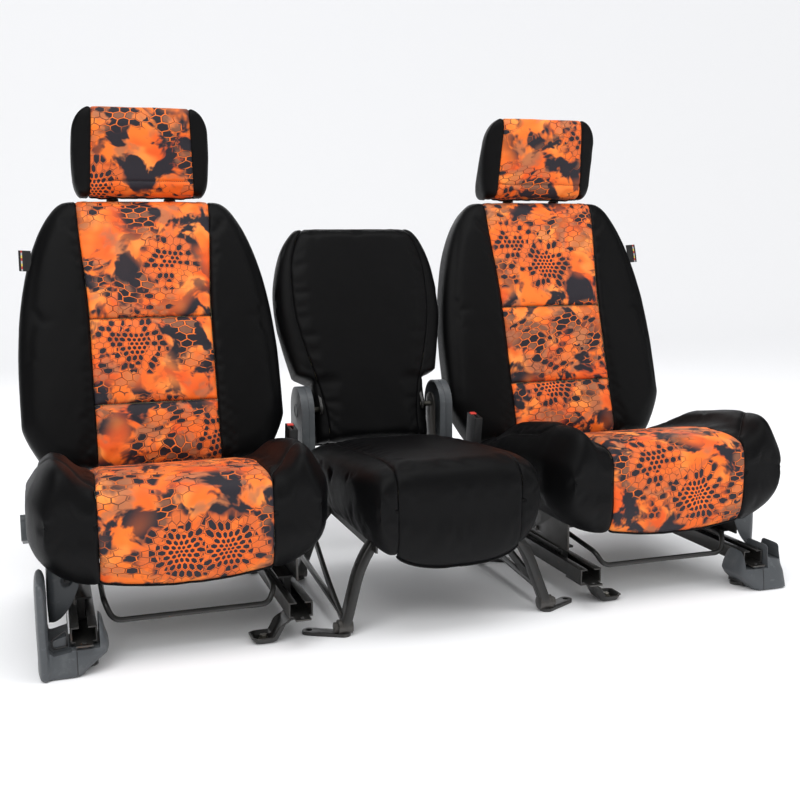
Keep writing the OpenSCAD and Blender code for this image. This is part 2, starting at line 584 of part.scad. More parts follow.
// ---------- Centre seat ----------
side_c = 140;
arm_c = 116;
module center_frame() color(steel) {
    both() {
        difference() {
            upright(side_c, plate) union() {
                translate([-190, 150]) square([518, pan_z - 150]);
                lozenge([hinge_y, 170], [hinge_y, hinge_z], 26);
            }
            translate([side_c - 1, hinge_y, hinge_z]) rotate([0, 90, 0]) cylinder(r = centre_pin + play, h = 6);
        }
        // Floor plates, legs and the long braces
        for (end = [-1, 1]) {
            foot_plate([205, end * 182], [bolt_x, end * bolt_y], 13, [bolt_x, end * bolt_y]);
            bent_rod([[130, end * 152, 168], [168, end * 162, 122], [203, end * 184, 3]], 8);
        }
        rod([203, -176, 34], [203, 176, 60], 6);
    }
    translate([-side_c - 1, -200, pan_z - 4]) cube([2 * side_c + 2, 400, 4]);
    for (end = [-1, 1]) cross_rod(-side_c - 1, side_c + 1, end * 152, 168, 9);
}
module center_hinge_pins() color(bright) both() {
    cross_rod(arm_c - 0.5, side_c + plate + 0.5, hinge_y, hinge_z, centre_pin);
    cross_rod(side_c + plate + 0.2, side_c + plate + 1.6, hinge_y, hinge_z, 10);
}
module tower_outline(grow) {
    translate([hinge_y, hinge_z]) circle(r = 54 + grow);
    translate([hinge_y - 54 - grow, 196 - grow]) square([108 + 2 * grow, hinge_z - 196 + grow]);
}
module center_hinge_covers() color(grey) both() difference() {
    union() {
        upright(side_c + 6, 29) tower_outline(0);
        upright(175, 1.5) translate([hinge_y, hinge_z]) circle(r = 15);
    }
    upright(side_c + 5, 26) tower_outline(-3);
    // Parting groove on the rim and a shallow dish for the round boss
    upright(158, 1) difference() {
        tower_outline(2);
        tower_outline(-0.8);
    }
    upright(175.6, 3) translate([hinge_y, hinge_z]) circle(r = 11);
}
module centre_tubes(grow) {
    r = 9 + grow;
    x = arm_c + 3;
    bend = 40;
    top = 372;
    both() {
        translate([x, 80, -38]) rotate([-90, 0, 0]) cylinder(r = r, h = top - bend - 80);
        translate([x - bend, top - bend, -38]) rotate_extrude(angle = 90) translate([bend, 0]) circle(r = r);
        translate([arm_c - grow, 0, 0]) rotate([90, 0, 90]) linear_extrude(6 + 2 * grow)
            lozenge([0, 0], [100, -38], 13 + grow);
        if (grow > 0) translate([arm_c - 3, 0, 0]) rotate([0, 90, 0]) cylinder(r = centre_pin + 3, h = 50);
    }
    translate([bend - x, top, -38]) rotate([0, 90, 0]) cylinder(r = r, h = 2 * (x - bend));
    for (y = [110, 240]) translate([-x, y, -38]) rotate([0, 90, 0]) cylinder(r = 4 + grow, h = 2 * x);
}
module center_back_frame() color(steel) centre_plane() difference() {
    centre_tubes(0);
    both() translate([arm_c - 1, 0, 0]) rotate([0, 90, 0]) cylinder(r = centre_pin + play, h = 9);
}
module center_back_foam() color(foam) difference() {
    solid_pad(centre_back_pad, centre_back_stations);
    centre_plane() centre_tubes(1.5);
}
module center_back_cover_front() color(cloth)
    front_panel(centre_back_pad, [for (u = centre_back_stations) if (u > -0.7) u], over = [1 + TIP, 1.8]);
module center_back_cover_gussets() color(cloth) difference() {
    wings(centre_back_pad, [for (u = centre_back_stations) if (u > -0.7) u], false, true);
    cross_rod(-side_c, side_c, hinge_y, hinge_z, centre_pin + 3);
}
module center_back_cover_rear() color(cloth)
    rear_panel(centre_back_pad, [for (u = centre_back_stations) if (u > -0.4 && u < 1.6) u]);
module center_cushion_foam() color(foam) solid_pad(
    [for (i = [0:12]) i == 12 ? pan_z + 3 : centre_cushion_pad[i]], cushion_stations);
module center_cushion_cover() color(cloth) {
    front_panel(centre_cushion_pad, cushion_stations, over = [1.65], under = [-0.46, -0.6, -0.85]);
    wings(centre_cushion_pad, cushion_stations, true, true);
}

lower_rails();
rail_feet();
foot_covers();
center_frame();
center_hinge_covers();
center_hinge_pins();
center_cushion_foam();
center_cushion_cover();
center_back_frame();
center_back_foam();
center_back_cover_front();
center_back_cover_gussets();
center_back_cover_rear();
upper_rails(-1);  // passenger_upper_rails
seat_frame(-1);  // passenger_seat_frame
recliner_pins(-1);  // passenger_recliner_pins
cushion_foam(-1);  // passenger_cushion_foam
cushion_cover_center(-1);  // passenger_cushion_cover_center
cushion_cover_sides(-1);  // passenger_cushion_cover_sides
cover_straps(-1);  // passenger_cover_straps
side_shield(-1);  // passenger_side_shield
back_frame(-1);  // passenger_back_frame
back_foam(-1);  // passenger_back_foam
back_cover_center(-1);  // passenger_back_cover_center
back_cover_wings(-1);  // passenger_back_cover_wings
back_cover_rear(-1);  // passenger_back_cover_rear
label_tag(-1);  // passenger_label_tag
headrest_sleeves(-1);  // passenger_headrest_sleeves
headrest_foam(-1);  // passenger_headrest_foam
headrest_posts(-1);  // passenger_headrest_posts
headrest_cover_center(-1);  // passenger_headrest_cover_center
headrest_cover_sides(-1);  // passenger_headrest_cover_sides
towel_bar(-1);  // passenger_towel_bar
recline_lever(-1);  // passenger_recline_lever
buckle(-1);  // passenger_buckle
buckle_button(-1);  // passenger_buckle_button
upper_rails(1);  // driver_upper_rails
seat_frame(1);  // driver_seat_frame
recliner_pins(1);  // driver_recliner_pins
cushion_foam(1);  // driver_cushion_foam
cushion_cover_center(1);  // driver_cushion_cover_center
cushion_cover_sides(1);  // driver_cushion_cover_sides
cover_straps(1);  // driver_cover_straps
side_shield(1);  // driver_side_shield
back_frame(1);  // driver_back_frame
back_foam(1);  // driver_back_foam
back_cover_center(1);  // driver_back_cover_center
back_cover_wings(1);  // driver_back_cover_wings
back_cover_rear(1);  // driver_back_cover_rear
label_tag(1);  // driver_label_tag
headrest_sleeves(1);  // driver_headrest_sleeves
headrest_foam(1);  // driver_headrest_foam
headrest_posts(1);  // driver_headrest_posts
headrest_cover_center(1);  // driver_headrest_cover_center
headrest_cover_sides(1);  // driver_headrest_cover_sides
towel_bar(1);  // driver_towel_bar
recline_lever(1);  // driver_recline_lever
buckle(1);  // driver_buckle
buckle_button(1);  // driver_buckle_button
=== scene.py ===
"""Looks of the seat cover set: sewn covers, foam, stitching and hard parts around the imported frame."""

import json
import math
from types import SimpleNamespace

import bmesh
import bpy
import numpy as np
from mathutils import Matrix, Vector

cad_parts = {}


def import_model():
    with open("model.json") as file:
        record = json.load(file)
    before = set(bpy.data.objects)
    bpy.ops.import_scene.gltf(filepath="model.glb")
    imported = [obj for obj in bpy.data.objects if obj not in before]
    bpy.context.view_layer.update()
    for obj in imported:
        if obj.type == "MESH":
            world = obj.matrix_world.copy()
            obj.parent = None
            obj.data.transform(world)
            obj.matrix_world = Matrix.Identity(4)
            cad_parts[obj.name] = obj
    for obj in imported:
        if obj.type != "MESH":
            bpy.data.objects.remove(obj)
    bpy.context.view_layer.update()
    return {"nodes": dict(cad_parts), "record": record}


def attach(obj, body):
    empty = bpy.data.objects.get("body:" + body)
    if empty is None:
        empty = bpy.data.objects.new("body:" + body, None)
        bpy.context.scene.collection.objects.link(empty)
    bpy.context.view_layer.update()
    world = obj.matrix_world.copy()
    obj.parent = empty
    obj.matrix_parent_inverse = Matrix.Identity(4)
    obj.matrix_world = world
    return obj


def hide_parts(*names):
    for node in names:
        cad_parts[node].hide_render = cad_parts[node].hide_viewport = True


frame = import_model()

# ---------------------------------------------------------------- driving dimensions, millimetres
MM = 0.001
SIDES = {"passenger": -1, "driver": 1}
FABRIC = 3.4            # thickness of the cover fabric
OUTER = 4.4             # outside of the covers above the foam's own outline
SWELL = 2.2             # the simulated pads start this far inside the finished outline
LEAST_SWELL = 0.5       # how far the simulated cloth may sink in
CAP = 5.0               # furthest a simulated point may move
CELL = 5.5              # size of a mesh cell of the covers
SIM_CELL = 11           # size of a mesh cell in the cloth simulation
SIM_FRAMES = 20
SEAM_EDGE = [1.2, 3.0, 6.0]     # mesh columns that follow a seam, measured from it
SEAM_DEPTH = 2.3
SEAM_WIDTH = 2.4
SEAM_CLEAR = 0.0005     # gap between two panels at a cross seam, as a share of the pad's length
PIPING = 1.5            # radius of the cord in the print's long seams
FOAM_CELL = 9
FOAM_SHRINK = 4.5
PAN_TOP = 193           # the cushions' foam rests on the steel pan here
WELD, CLOTH_WELD = 0.00002, 0.00005     # points this close become one, in metres
PITCH = 475             # middle of the row to the middle of a bucket seat
RECLINE = math.radians(17.5)
PIVOT_Y, PIVOT_Z = 310, 165
HINGE_Y, HINGE_Z = 301, 345
BACK_TOP, BACK_HALF, BACK_TOP_HALF, BACK_PANEL_HALF = 659, 279, 146, 132
SEAM_LOW, SEAM_HIGH = 203, 388
CUSHION_HALF, CUSHION_FRONT, CUSHION_REAR = 260, -212, 246
CUSHION_CROWN, BOLSTER_RISE, CUSHION_PANEL_HALF, CUSHION_SHIFT = 319, 42, 148, 7
HEAD_HALF, HEAD_LOW, HEAD_HIGH, HEAD_PANEL_HALF = 145, 812, 1006, 112
CENTRE_HALF, CENTRE_TOP, CENTRE_CUSHION_HALF = 193, 424, 172
UP, FRONT, REAR, OUT, INNER = (0, 0, 1), (0, -1, 0), (0, 1, 0), (1, 0, 0), (-1, 0, 0)


# ---------------------------------------------------------------- small maths
def spow(v, e):
    """A power that keeps the sign."""
    return np.sign(v) * np.abs(v) ** e


def mix(a, b, t):
    return a + (b - a) * t


def unit(t):
    return np.clip(t, 0.0, 1.0)


def smooth(t):
    c = unit(t)
    return c * c * (3 - 2 * c)


def round_in(t):
    """A quarter circle that falls from 1 to 0."""
    return np.sqrt(1 - unit(t) ** 2)


def const(value):
    return lambda s: value + 0 * s


def length(v):
    return np.linalg.norm(v, axis=-1)


def walked(points):
    """Distance along a line of points at each of them."""
    return np.concatenate([[0], np.cumsum(length(np.diff(points, axis=0)))])


random = np.random.RandomState(11)
WAVES = [(random.uniform(-1, 1, 3), random.uniform(0, 6.28)) for _ in range(9)]


def ripple(points, size):
    """Smooth noise between about -1 and 1 with features of about size millimetres."""
    return sum(np.sin(points @ direction * (6.28 / size) + phase) for direction, phase in WAVES) / 4.0


# ---------------------------------------------------------------- pads
class Pad(SimpleNamespace):
    """A soft shape made of sections along s; x runs across it and n towards its front face.

    half, front, rear, centre and bolster give the section's size at s; front_panel and rear_panel are the
    half widths of its seams; square holds the roundness of the front, the rear and the rear's depth; ends
    are s at the low end, where both ends start to close, and at the high end.
    """

    def along(self, u, off):
        low, start, stop, high = self.ends
        below = start + (start - low + off) * spow(np.sin(np.pi / 2 * np.minimum(u, 0)), self.close)
        above = stop + (high - stop + off) * spow(np.sin(np.pi / 2 * np.maximum(u - 1, 0)), self.close)
        return np.where(u < 0, below, np.where(u > 1, above, mix(start, stop, u)))

    def closing(self, u):
        past = np.where(u < 0, -u, np.maximum(u - 1, 0))
        return spow(np.cos(np.pi / 2 * past), self.close)

    def station(self, s):
        return (s - self.ends[1]) / (self.ends[2] - self.ends[1])

    def section(self, u, a, off):
        s, k = self.along(u, off), self.closing(u)
        w = self.half(s) + off
        is_front = np.sin(a) >= 0
        x = w * spow(np.cos(a), np.where(is_front, self.square[0], self.square[1]))
        depth = np.where(is_front, self.front(s), self.rear(s)) + off
        p = self.front_panel(self.along(u, 0))
        t = unit((np.abs(x) - p) / np.maximum(w - p, 1e-6))
        bump = np.where(is_front, np.sin(np.pi * t ** 1.4) ** 2, 0)
        e = np.where(is_front, self.square[0], self.square[-1])
        n = self.centre(s) + k * depth * spow(np.sin(a), e) + k * self.bolster(s) * bump
        return np.stack(self.place(x, s, n), axis=-1)

    def angle_at(self, u, x, off, e):
        w = self.half(self.along(u, off)) + off
        return np.arccos(np.minimum(0.995, np.abs(x) / w) ** (1 / e))


def leaning(y, z):
    """Places a backrest's own x, s and n around a pivot, leaning back by the recline at rest."""
    sin, cos = math.sin(RECLINE), math.cos(RECLINE)
    return lambda x, s, n: (x, y + s * sin - n * cos, z + s * cos + n * sin)


def head_front(s):
    return -(427 - 22 * (s - HEAD_LOW) / 178)


def head_rear(s):
    return -(545 - 97 * (s - HEAD_LOW) / 185)


def head_depth(s):
    return (head_front(s) - head_rear(s)) / 2 - OUTER


def head_panel(s):
    return mix(HEAD_PANEL_HALF, HEAD_PANEL_HALF - 9, unit((s - HEAD_LOW) / 180))


def centre_shoulder(s):
    return 1 - round_in((s - 300) / (CENTRE_TOP - 296))


on_back = leaning(PIVOT_Y, PIVOT_Z)
back_pad = Pad(
    half=lambda s: BACK_HALF - OUTER - 57 * unit((170 - s) / 110) ** 1.3
    - (BACK_HALF - BACK_TOP_HALF) * (1 - round_in((s - 270) / (BACK_TOP - 266))),
    front=const(54), rear=lambda s: 55 - 18 * smooth((s - 540) / 110), centre=const(18), bolster=const(0),
    front_panel=lambda s: mix(BACK_PANEL_HALF - 4, BACK_PANEL_HALF + 10, smooth((s - 380) / 270)),
    rear_panel=lambda s: mix(150, 132, smooth((s - 380) / 270)),
    square=(0.42, 0.5), ends=(74, 132, 590, BACK_TOP - OUTER), close=0.4, place=on_back)
cushion_pad = Pad(
    half=lambda s: CUSHION_HALF - OUTER - 26 * unit((-120 - s) / 92) ** 2,
    front=lambda s: CUSHION_CROWN - OUTER - 250 - 62 * unit((s + 90) / 330) ** 1.2,
    rear=const(131), centre=const(250),
    bolster=lambda s: BOLSTER_RISE * (1 - 0.75 * smooth((s - 60) / 160)),
    front_panel=lambda s: CUSHION_PANEL_HALF - 2 * smooth((s + 200) / 100),
    rear_panel=lambda s: mix(CUSHION_PANEL_HALF, 207, smooth((s + 187) / 45)),
    square=(0.36, 1, 0.58), ends=(CUSHION_FRONT + OUTER, -112, 190, CUSHION_REAR - OUTER), close=0.5,
    place=lambda x, s, n: (x + CUSHION_SHIFT, s, n))
head_pad = Pad(
    half=lambda s: HEAD_HALF - OUTER - 46 * (1 - round_in((s - HEAD_HIGH + 58) / 58))
    - 20 * (1 - round_in((HEAD_LOW + 42 - s) / 42)),
    front=head_depth, rear=head_depth, centre=lambda s: (head_front(s) + head_rear(s)) / 2, bolster=const(0),
    front_panel=head_panel, rear_panel=head_panel,
    square=(0.4, 0.5), ends=(HEAD_LOW + OUTER, HEAD_LOW + 30, HEAD_HIGH - 46, HEAD_HIGH - OUTER), close=0.6,
    place=lambda x, s, n: (x, -n, s))
centre_back_pad = Pad(
    half=lambda s: CENTRE_HALF - OUTER - 27 * unit((230 - s) / 160) ** 1.3 - 33 * smooth((84 - s) / 24)
    - 76 * (1 - round_in((s - 250) / (CENTRE_TOP - 246))),
    front=const(47), rear=lambda s: 47 - 12 * smooth((s - 320) / 100), centre=const(-38), bolster=const(0),
    front_panel=lambda s: mix(105, 160, smooth((s + 46) / 300)) - 62 * centre_shoulder(s),
    rear_panel=lambda s: mix(105, 150, smooth((s + 46) / 330)) - 58 * centre_shoulder(s),
    square=(0.36, 0.45), ends=(-72, -36, 370, CENTRE_TOP - OUTER), close=0.4, place=leaning(HINGE_Y, HINGE_Z))
centre_cushion_pad = Pad(
    half=lambda s: CENTRE_CUSHION_HALF - OUTER - 16 * unit((-150 - s) / 100) ** 2,
    front=lambda s: 78 - OUTER - 34 * unit((s + 150) / 380) ** 1.2,
    rear=const(132), centre=const(244), bolster=const(0), front_panel=const(120),
    rear_panel=lambda s: mix(118, 152, smooth((s + 245) / 60)),
    square=(0.4, 0.8), ends=(-256 + OUTER, -160, 165, 215), close=0.5, place=lambda x, s, n: (x, s, n))


# ---------------------------------------------------------------- grids on a pad
TIP = 0.99998           # sections stop just short of a pad's closed end


def resample(points, places):
    """Rows of points at the given shares of each row's length, and those lengths."""
    step = length(np.diff(points, axis=1))
    walk = np.concatenate([np.zeros((len(points), 1)), np.cumsum(step, axis=1)], axis=1)
    out = np.empty((len(points), places.shape[1], 3))
    for i in range(len(points)):
        for k in range(3):
            out[i, :, k] = np.interp(places[i] * walk[i, -1], walk[i], points[i, :, k])
    return out, walk[:, -1]


def spread(total, count, edge):
    """Shares of the way along for each row: columns at fixed distances from both edges, even between."""
    if not edge:
        return np.repeat(np.linspace(0, 1, count + 1)[None], len(total), 0)
    squeeze = np.minimum(1, total / (6 * SEAM_EDGE[-1]))[:, None]
    near = np.array([0] + SEAM_EDGE)[None] * squeeze
    inner = np.linspace(0, 1, count + 1)[None, 1:-1]
    last = near[:, -1:]
    even = last + (total[:, None] - 2 * last) * inner
    return np.concatenate([near, even, (total[:, None] - near)[:, ::-1]], axis=1) / total[:, None]


def region(pad, us, off, kind, side=1, cell=CELL, edge=True):
    """Grid of points on one region of a pad: front, rear, wing or under (rear, but as wide as the front)."""
    s = pad.along(us, 0)
    e = pad.square[0] if kind == "front" else pad.square[1]
    if kind == "wing":
        t = np.linspace(-1, 1, 801)[None]
        rear = pad.angle_at(us, pad.rear_panel(s), off, pad.square[1])[:, None]
        front = pad.angle_at(us, pad.front_panel(s), off, pad.square[0])[:, None]
        a = np.where(t < 0, -rear, front) * np.abs(t) ** 3
        a = a if side > 0 else np.pi - a
    else:
        half = (pad.rear_panel(s) if kind == "rear" else pad.front_panel(s))[:, None]
        t = np.linspace(1, -1, 301)[None]
        a = pad.angle_at(us[:, None], t * half, off, e)
        a = np.where(t > 0, a, np.pi - a) * (1 if kind == "front" else -1)
    dense = pad.section(us[:, None] + 0 * a, a, off)
    total = length(np.diff(dense, axis=1)).sum(1)
    shares = spread(total, max(4, int(round(total.max() / cell))), edge)
    grid, total = resample(dense, shares)
    return grid, shares, total


def stations(pad, low, high, cell, keep=()):
    """Values of u at even steps along the pad's middle from low to high, with extra rows at kept seams."""
    fine = smooth(smooth(np.linspace(0, 1, 1500)))
    u = np.unique(np.concatenate([-1 + fine, np.linspace(0, 1, 1500), 1 + fine]))
    u = u[(u >= low) & (u <= high)]
    walk = walked(pad.section(u, 0 * u + np.pi / 2, OUTER))
    marks = [0.0]
    for seam in keep:
        at = np.interp(seam, u, walk)
        marks += [at - d for d in reversed(SEAM_EDGE)] + [at] + [at + d for d in SEAM_EDGE]
    marks.append(walk[-1])
    places = []
    for a, b in zip(marks, marks[1:]):
        steps = max(1, int(round((b - a) / cell)))
        places += list(np.linspace(a, b, steps + 1)[:-1])
    return np.interp(places + [marks[-1]], walk, u)


def normals(grid, middle):
    """Outward unit normals of a grid; middle is a point inside the pad for each row."""
    n = np.cross(np.gradient(grid, axis=0), np.gradient(grid, axis=1))
    n = n / np.maximum(length(n)[..., None], 1e-9)
    centre = grid.shape[1] // 2
    out = np.sum(n[:, centre] * (grid[:, centre] - middle), axis=-1).sum()
    return n if out > 0 else -n


# ---------------------------------------------------------------- cloth simulation
KINDS = [("front", 1), ("wing", -1), ("rear", 1), ("wing", 1)]


def run_round(kind, side, grid):
    """Turns a region's columns to the order in which the four regions run round the pad."""
    return grid[:, ::-1] if (kind, side) in (("wing", -1), ("rear", 1)) else grid


def inflate(obj):
    """Blows a mesh up as cloth for a few frames. Returns its points and leaves nothing behind."""
    cloth = obj.modifiers.new("Cloth", "CLOTH")
    settings = cloth.settings
    settings.quality, settings.mass = 6, 0.35
    settings.tension_stiffness = settings.compression_stiffness = 22
    settings.bending_stiffness = 1.5
    settings.use_pressure, settings.uniform_pressure_force = True, 4
    settings.shrink_min = -0.012
    settings.vertex_group_mass = "pins"
    settings.effector_weights.gravity = 0
    cloth.point_cache.frame_start, cloth.point_cache.frame_end = 1, SIM_FRAMES
    scene = bpy.context.scene
    for f in range(1, SIM_FRAMES + 1):
        scene.frame_set(f)
    co = np.empty(len(obj.data.vertices) * 3)
    obj.evaluated_get(bpy.context.evaluated_depsgraph_get()).data.vertices.foreach_get("co", co)
    mesh = obj.data
    bpy.data.objects.remove(obj)
    bpy.data.meshes.remove(mesh)
    scene.frame_set(1)
    return co.reshape(-1, 3)


def simulate(pad, pinned_rows=()):
    """Blows the whole pad up as cloth sewn at its seams. Returns how far each region's points moved."""
    us = stations(pad, -TIP, 1 + TIP, SIM_CELL)
    grids = [run_round(*key, region(pad, us, OUTER - SWELL, *key, SIM_CELL, edge=False)[0]) for key in KINDS]
    loops = np.concatenate([g[:, :-1] for g in grids], axis=1)
    rows, cols = loops.shape[:2]
    faces = [
        (i * cols + j, i * cols + (j + 1) % cols, (i + 1) * cols + (j + 1) % cols, (i + 1) * cols + j)
        for i in range(rows - 1) for j in range(cols)]
    a, b = loops[rows // 2, 2], loops[rows // 2, 3]
    facing = np.cross(b - a, loops[rows // 2 + 1, 2] - a) @ (a - loops.reshape(-1, 3).mean(0))
    if facing < 0:
        faces = [f[::-1] for f in faces]
    mesh = bpy.data.meshes.new("sim")
    mesh.from_pydata((loops.reshape(-1, 3) * MM).tolist(), [], faces)
    obj = bpy.data.objects.new("sim", mesh)
    bpy.context.scene.collection.objects.link(obj)
    seams = [int(c) for c in np.cumsum([0] + [g.shape[1] - 1 for g in grids])]
    pins = {i * cols + j for i in range(rows) for j in seams[:-1]}
    pins |= {i * cols + j for i in (0, 1, rows - 2, rows - 1) for j in range(cols)}
    for seam in pinned_rows:
        row = int(np.argmin(np.abs(us - seam)))
        pins |= {row * cols + j for j in range(grids[0].shape[1])}
    obj.vertex_groups.new(name="pins").add(sorted(pins), 1.0, "REPLACE")
    moved = inflate(obj).reshape(rows, cols, 3) / MM - loops
    moved *= np.minimum(1, CAP / np.maximum(length(moved)[..., None], 1e-9))
    closed = np.concatenate([moved, moved[:, :1]], axis=1)
    return us, {key: run_round(*key, closed[:, a:b + 1]) for key, a, b in zip(KINDS, seams, seams[1:])}


def cubic(count, places):
    """Matrix that turns count even samples into values at places (0 to 1), along Catmull-Rom curves."""
    at = np.clip(places, 0, 1) * (count - 1)
    i = np.clip(np.floor(at).astype(int), 0, count - 2)
    t = at - i
    m = np.zeros((len(at), count))
    weights = [(-t + 2 * t ** 2 - t ** 3) / 2, (2 - 5 * t ** 2 + 3 * t ** 3) / 2,
               (t + 4 * t ** 2 - 3 * t ** 3) / 2, (t ** 3 - t ** 2) / 2]
    for k, weight in enumerate(weights):
        np.add.at(m, (np.arange(len(at)), np.clip(i + k - 1, 0, count - 1)), weight)
    return m


def puffed(sim, us, kind, side, shares):
    """The simulated movement of a region, read at the rows and columns of a finer grid."""
    sim_us, moves = sim
    part = moves[("rear" if kind == "under" else kind, side)]
    rows = cubic(len(sim_us), np.interp(us, sim_us, np.linspace(0, 1, len(sim_us))))
    across = np.einsum("ri,ijk->rjk", rows, part)
    return np.array([cubic(part.shape[1], share) @ row for share, row in zip(shares, across)])


def zip_ends(grid, us):
    """Closes a wing's flat ends: points of its front half move onto the nearest points of its rear half."""
    half = grid.shape[1] // 2
    for row, closed in ((0, us[0] < -0.99), (-1, us[-1] > 1.99)):
        if closed:
            rear = grid[row, :half]
            for j in range(half, grid.shape[1] - len(SEAM_EDGE) - 1):
                grid[row, j] = rear[np.argmin(length(rear - grid[row, j]))]
    return grid


def groove(d, fade, pucker, strength):
    """How far the cloth sinks at distance d from a seam, with the small waves of gathered cloth."""
    return SEAM_DEPTH * np.exp(-(d / SEAM_WIDTH) ** 2) + strength * pucker * np.exp(-d / fade)


def sewn(pad, us, kind, sim, side=1, seam_rows=()):
    """One panel of a cover: the pad's surface, swollen, pulled in along its seams.

    Returns its points and their places on the cloth.
    """
    grid, shares, total = region(pad, us, OUTER - (SWELL if sim is not None else 0), kind, side)
    core = side * 60 if kind == "wing" else 0
    s = pad.along(us, 0)
    inside = np.stack(pad.place(core + 0 * s, s, pad.centre(s)), -1)
    if sim is not None:
        n = normals(grid, inside)
        moved = puffed(sim, us, kind, side, shares)
        sunk = np.maximum(0, -LEAST_SWELL - np.sum(moved * n, axis=-1))
        sunk[:, [0, -1]] = 0
        grid = grid + moved + n * sunk[..., None]
    if kind == "wing":
        grid = zip_ends(grid, us)
    n = normals(grid, inside)
    total = total[:, None]
    from_left = shares * total
    walk = walked(grid[:, grid.shape[1] // 2])[:, None]
    along = 1 + 0.35 * np.sin(walk / 2.1 + 1.7 * np.sin(walk / 13))
    dip = groove(from_left, 9, along, 0.35) + groove((1 - shares) * total, 9, along, 0.35)
    across = 1 + 0.5 * np.sin(from_left / 2.4 + 1.5 * np.sin(from_left / 17))
    for row in seam_rows:
        dip += groove(np.abs(walk - np.interp(row, us, walk[:, 0])), 8, across, 0.45)
    dip += 0.35 * ripple(grid, 90) + 0.12 * ripple(grid, 31)
    uv = np.stack([from_left - total / 2, np.repeat(walk, grid.shape[1], 1)], -1)
    return grid - n * dip[..., None], uv


# ---------------------------------------------------------------- meshes
def place(points, side):
    """From a bucket seat's own frame to the row frame, in metres. Side 0 is the centre seat."""
    p = np.array(points, float)
    if side:
        p = p * [side, 1, 1] + [side * PITCH, 0, 0]
    return p * MM


def add(name, data):
    """An object with this name and data, in the scene."""
    data.name = name
    obj = bpy.data.objects.new(name, data)
    bpy.context.scene.collection.objects.link(obj)
    return obj


def link(name, mesh, finish, body, *nodes):
    """A visible piece on its body, in place of the given CAD nodes."""
    obj = add(name, mesh)
    mesh.materials.append(FINISH[finish])
    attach(obj, body)
    if nodes:
        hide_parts(*nodes)
    return obj


def smoothed(mesh, weld=None, crease=None, turn=True):
    """Merges doubled points, turns the faces outwards and shades them smoothly up to a crease in degrees."""
    bm = bmesh.new()
    bm.from_mesh(mesh)
    if weld:
        bmesh.ops.remove_doubles(bm, verts=bm.verts, dist=weld)
        bmesh.ops.dissolve_degenerate(bm, edges=bm.edges, dist=weld * 0.4)
    if turn:
        bmesh.ops.recalc_face_normals(bm, faces=bm.faces)
    bm.to_mesh(mesh)
    bm.free()
    shade_smooth(mesh, crease)
    return mesh


def grid_mesh(name, grids, side=0):
    """One mesh from several grids of (points, uv in millimetres, the way they face)."""
    verts, faces, uvs = [], [], []
    for points, uv, outward in grids:
        rows, cols = points.shape[:2]
        base = len(verts)
        p = place(points.reshape(-1, 3), side)
        verts += p.tolist()
        mid = (rows // 2) * cols + cols // 2
        n = np.cross(p[mid + cols] - p[mid], p[mid + 1] - p[mid])
        turned = np.dot(n, np.array(outward) * [side or 1, 1, 1]) < 0
        for i in range(rows - 1):
            for j in range(cols - 1):
                a = base + i * cols + j
                quad = (a, a + cols, a + cols + 1, a + 1)
                faces.append(quad[::-1] if turned else quad)
        uvs.append(uv.reshape(-1, 2) * MM)
    mesh = bpy.data.meshes.new(name)
    mesh.from_pydata(verts, [], faces)
    loops = np.empty(len(mesh.loops), int)
    mesh.loops.foreach_get("vertex_index", loops)
    flat = np.concatenate(uvs)[loops].astype(np.float32)
    mesh.uv_layers.new(name="cloth").data.foreach_set("uv", flat.ravel())
    return smoothed(mesh, weld=CLOTH_WELD, turn=False)


def loft(*solids, crease=None):
    """Closed solids, each of them through rings of points in metres."""
    verts, faces = [], []
    for rings in solids:
        points = np.array(rings, float)
        count, sides = points.shape[:2]
        ids = len(verts) + np.arange(count * sides).reshape(count, sides)
        ahead = np.roll(ids, -1, axis=1)
        faces += np.stack([ids[:-1], ids[1:], ahead[1:], ahead[:-1]], -1).reshape(-1, 4).tolist()
        faces += [ids[0].tolist(), ids[-1, ::-1].tolist()]
        verts += points.reshape(-1, 3).tolist()
    mesh = bpy.data.meshes.new("loft")
    mesh.from_pydata(verts, [], faces)
    return smoothed(mesh, crease=crease)


def shade_smooth(mesh, crease=None):
    mesh.polygons.foreach_set("use_smooth", np.ones(len(mesh.polygons), bool))
    if crease:
        mesh.set_sharp_from_angle(angle=math.radians(crease))


def thicken(obj, thickness=FABRIC):
    solid = obj.modifiers.new("Thickness", "SOLIDIFY")
    solid.thickness, solid.offset = thickness * MM, -1
    return obj


def rolled_edges(obj, width, segments, angle):
    bevel = obj.modifiers.new("Rolled edges", "BEVEL")
    bevel.width, bevel.segments = width * MM, segments
    bevel.limit_method, bevel.angle_limit = "ANGLE", math.radians(angle)
    return bevel


def directions(points):
    tangent = np.gradient(points, axis=0)
    return tangent / np.maximum(length(tangent)[:, None], 1e-12)


def circle(sides):
    return np.linspace(0, 2 * math.pi, sides, endpoint=False)[:, None]


def tube_mesh(points, radius, sides=14):
    """A smooth round tube along points in metres; the radius is in millimetres."""
    p = np.array(points, float)
    a = circle(sides)
    tangent = directions(p)
    u = np.cross(tangent[0], UP if abs(tangent[0][2]) < 0.9 else OUT)
    rings = []
    for centre, t in zip(p, tangent):
        u = u - np.dot(u, t) * t
        u /= np.linalg.norm(u)
        rings.append(centre + radius * MM * (np.cos(a) * u + np.sin(a) * np.cross(t, u)))
    return loft(rings)


def bar(points, across, half_a, half_b):
    """A bar of rounded rectangular section along points in metres; across fixes which way half_a points."""
    p = np.array(points, float)
    a = circle(20)
    rings = []
    for centre, t in zip(p, directions(p)):
        u = np.array(across, float)
        u -= (u @ t) * t
        u /= np.linalg.norm(u)
        v = np.cross(t, u)
        ring = half_a * spow(np.cos(a), 0.35) * u + half_b * spow(np.sin(a), 0.35) * v
        rings.append(centre + ring * MM)
    return loft(rings, crease=40)


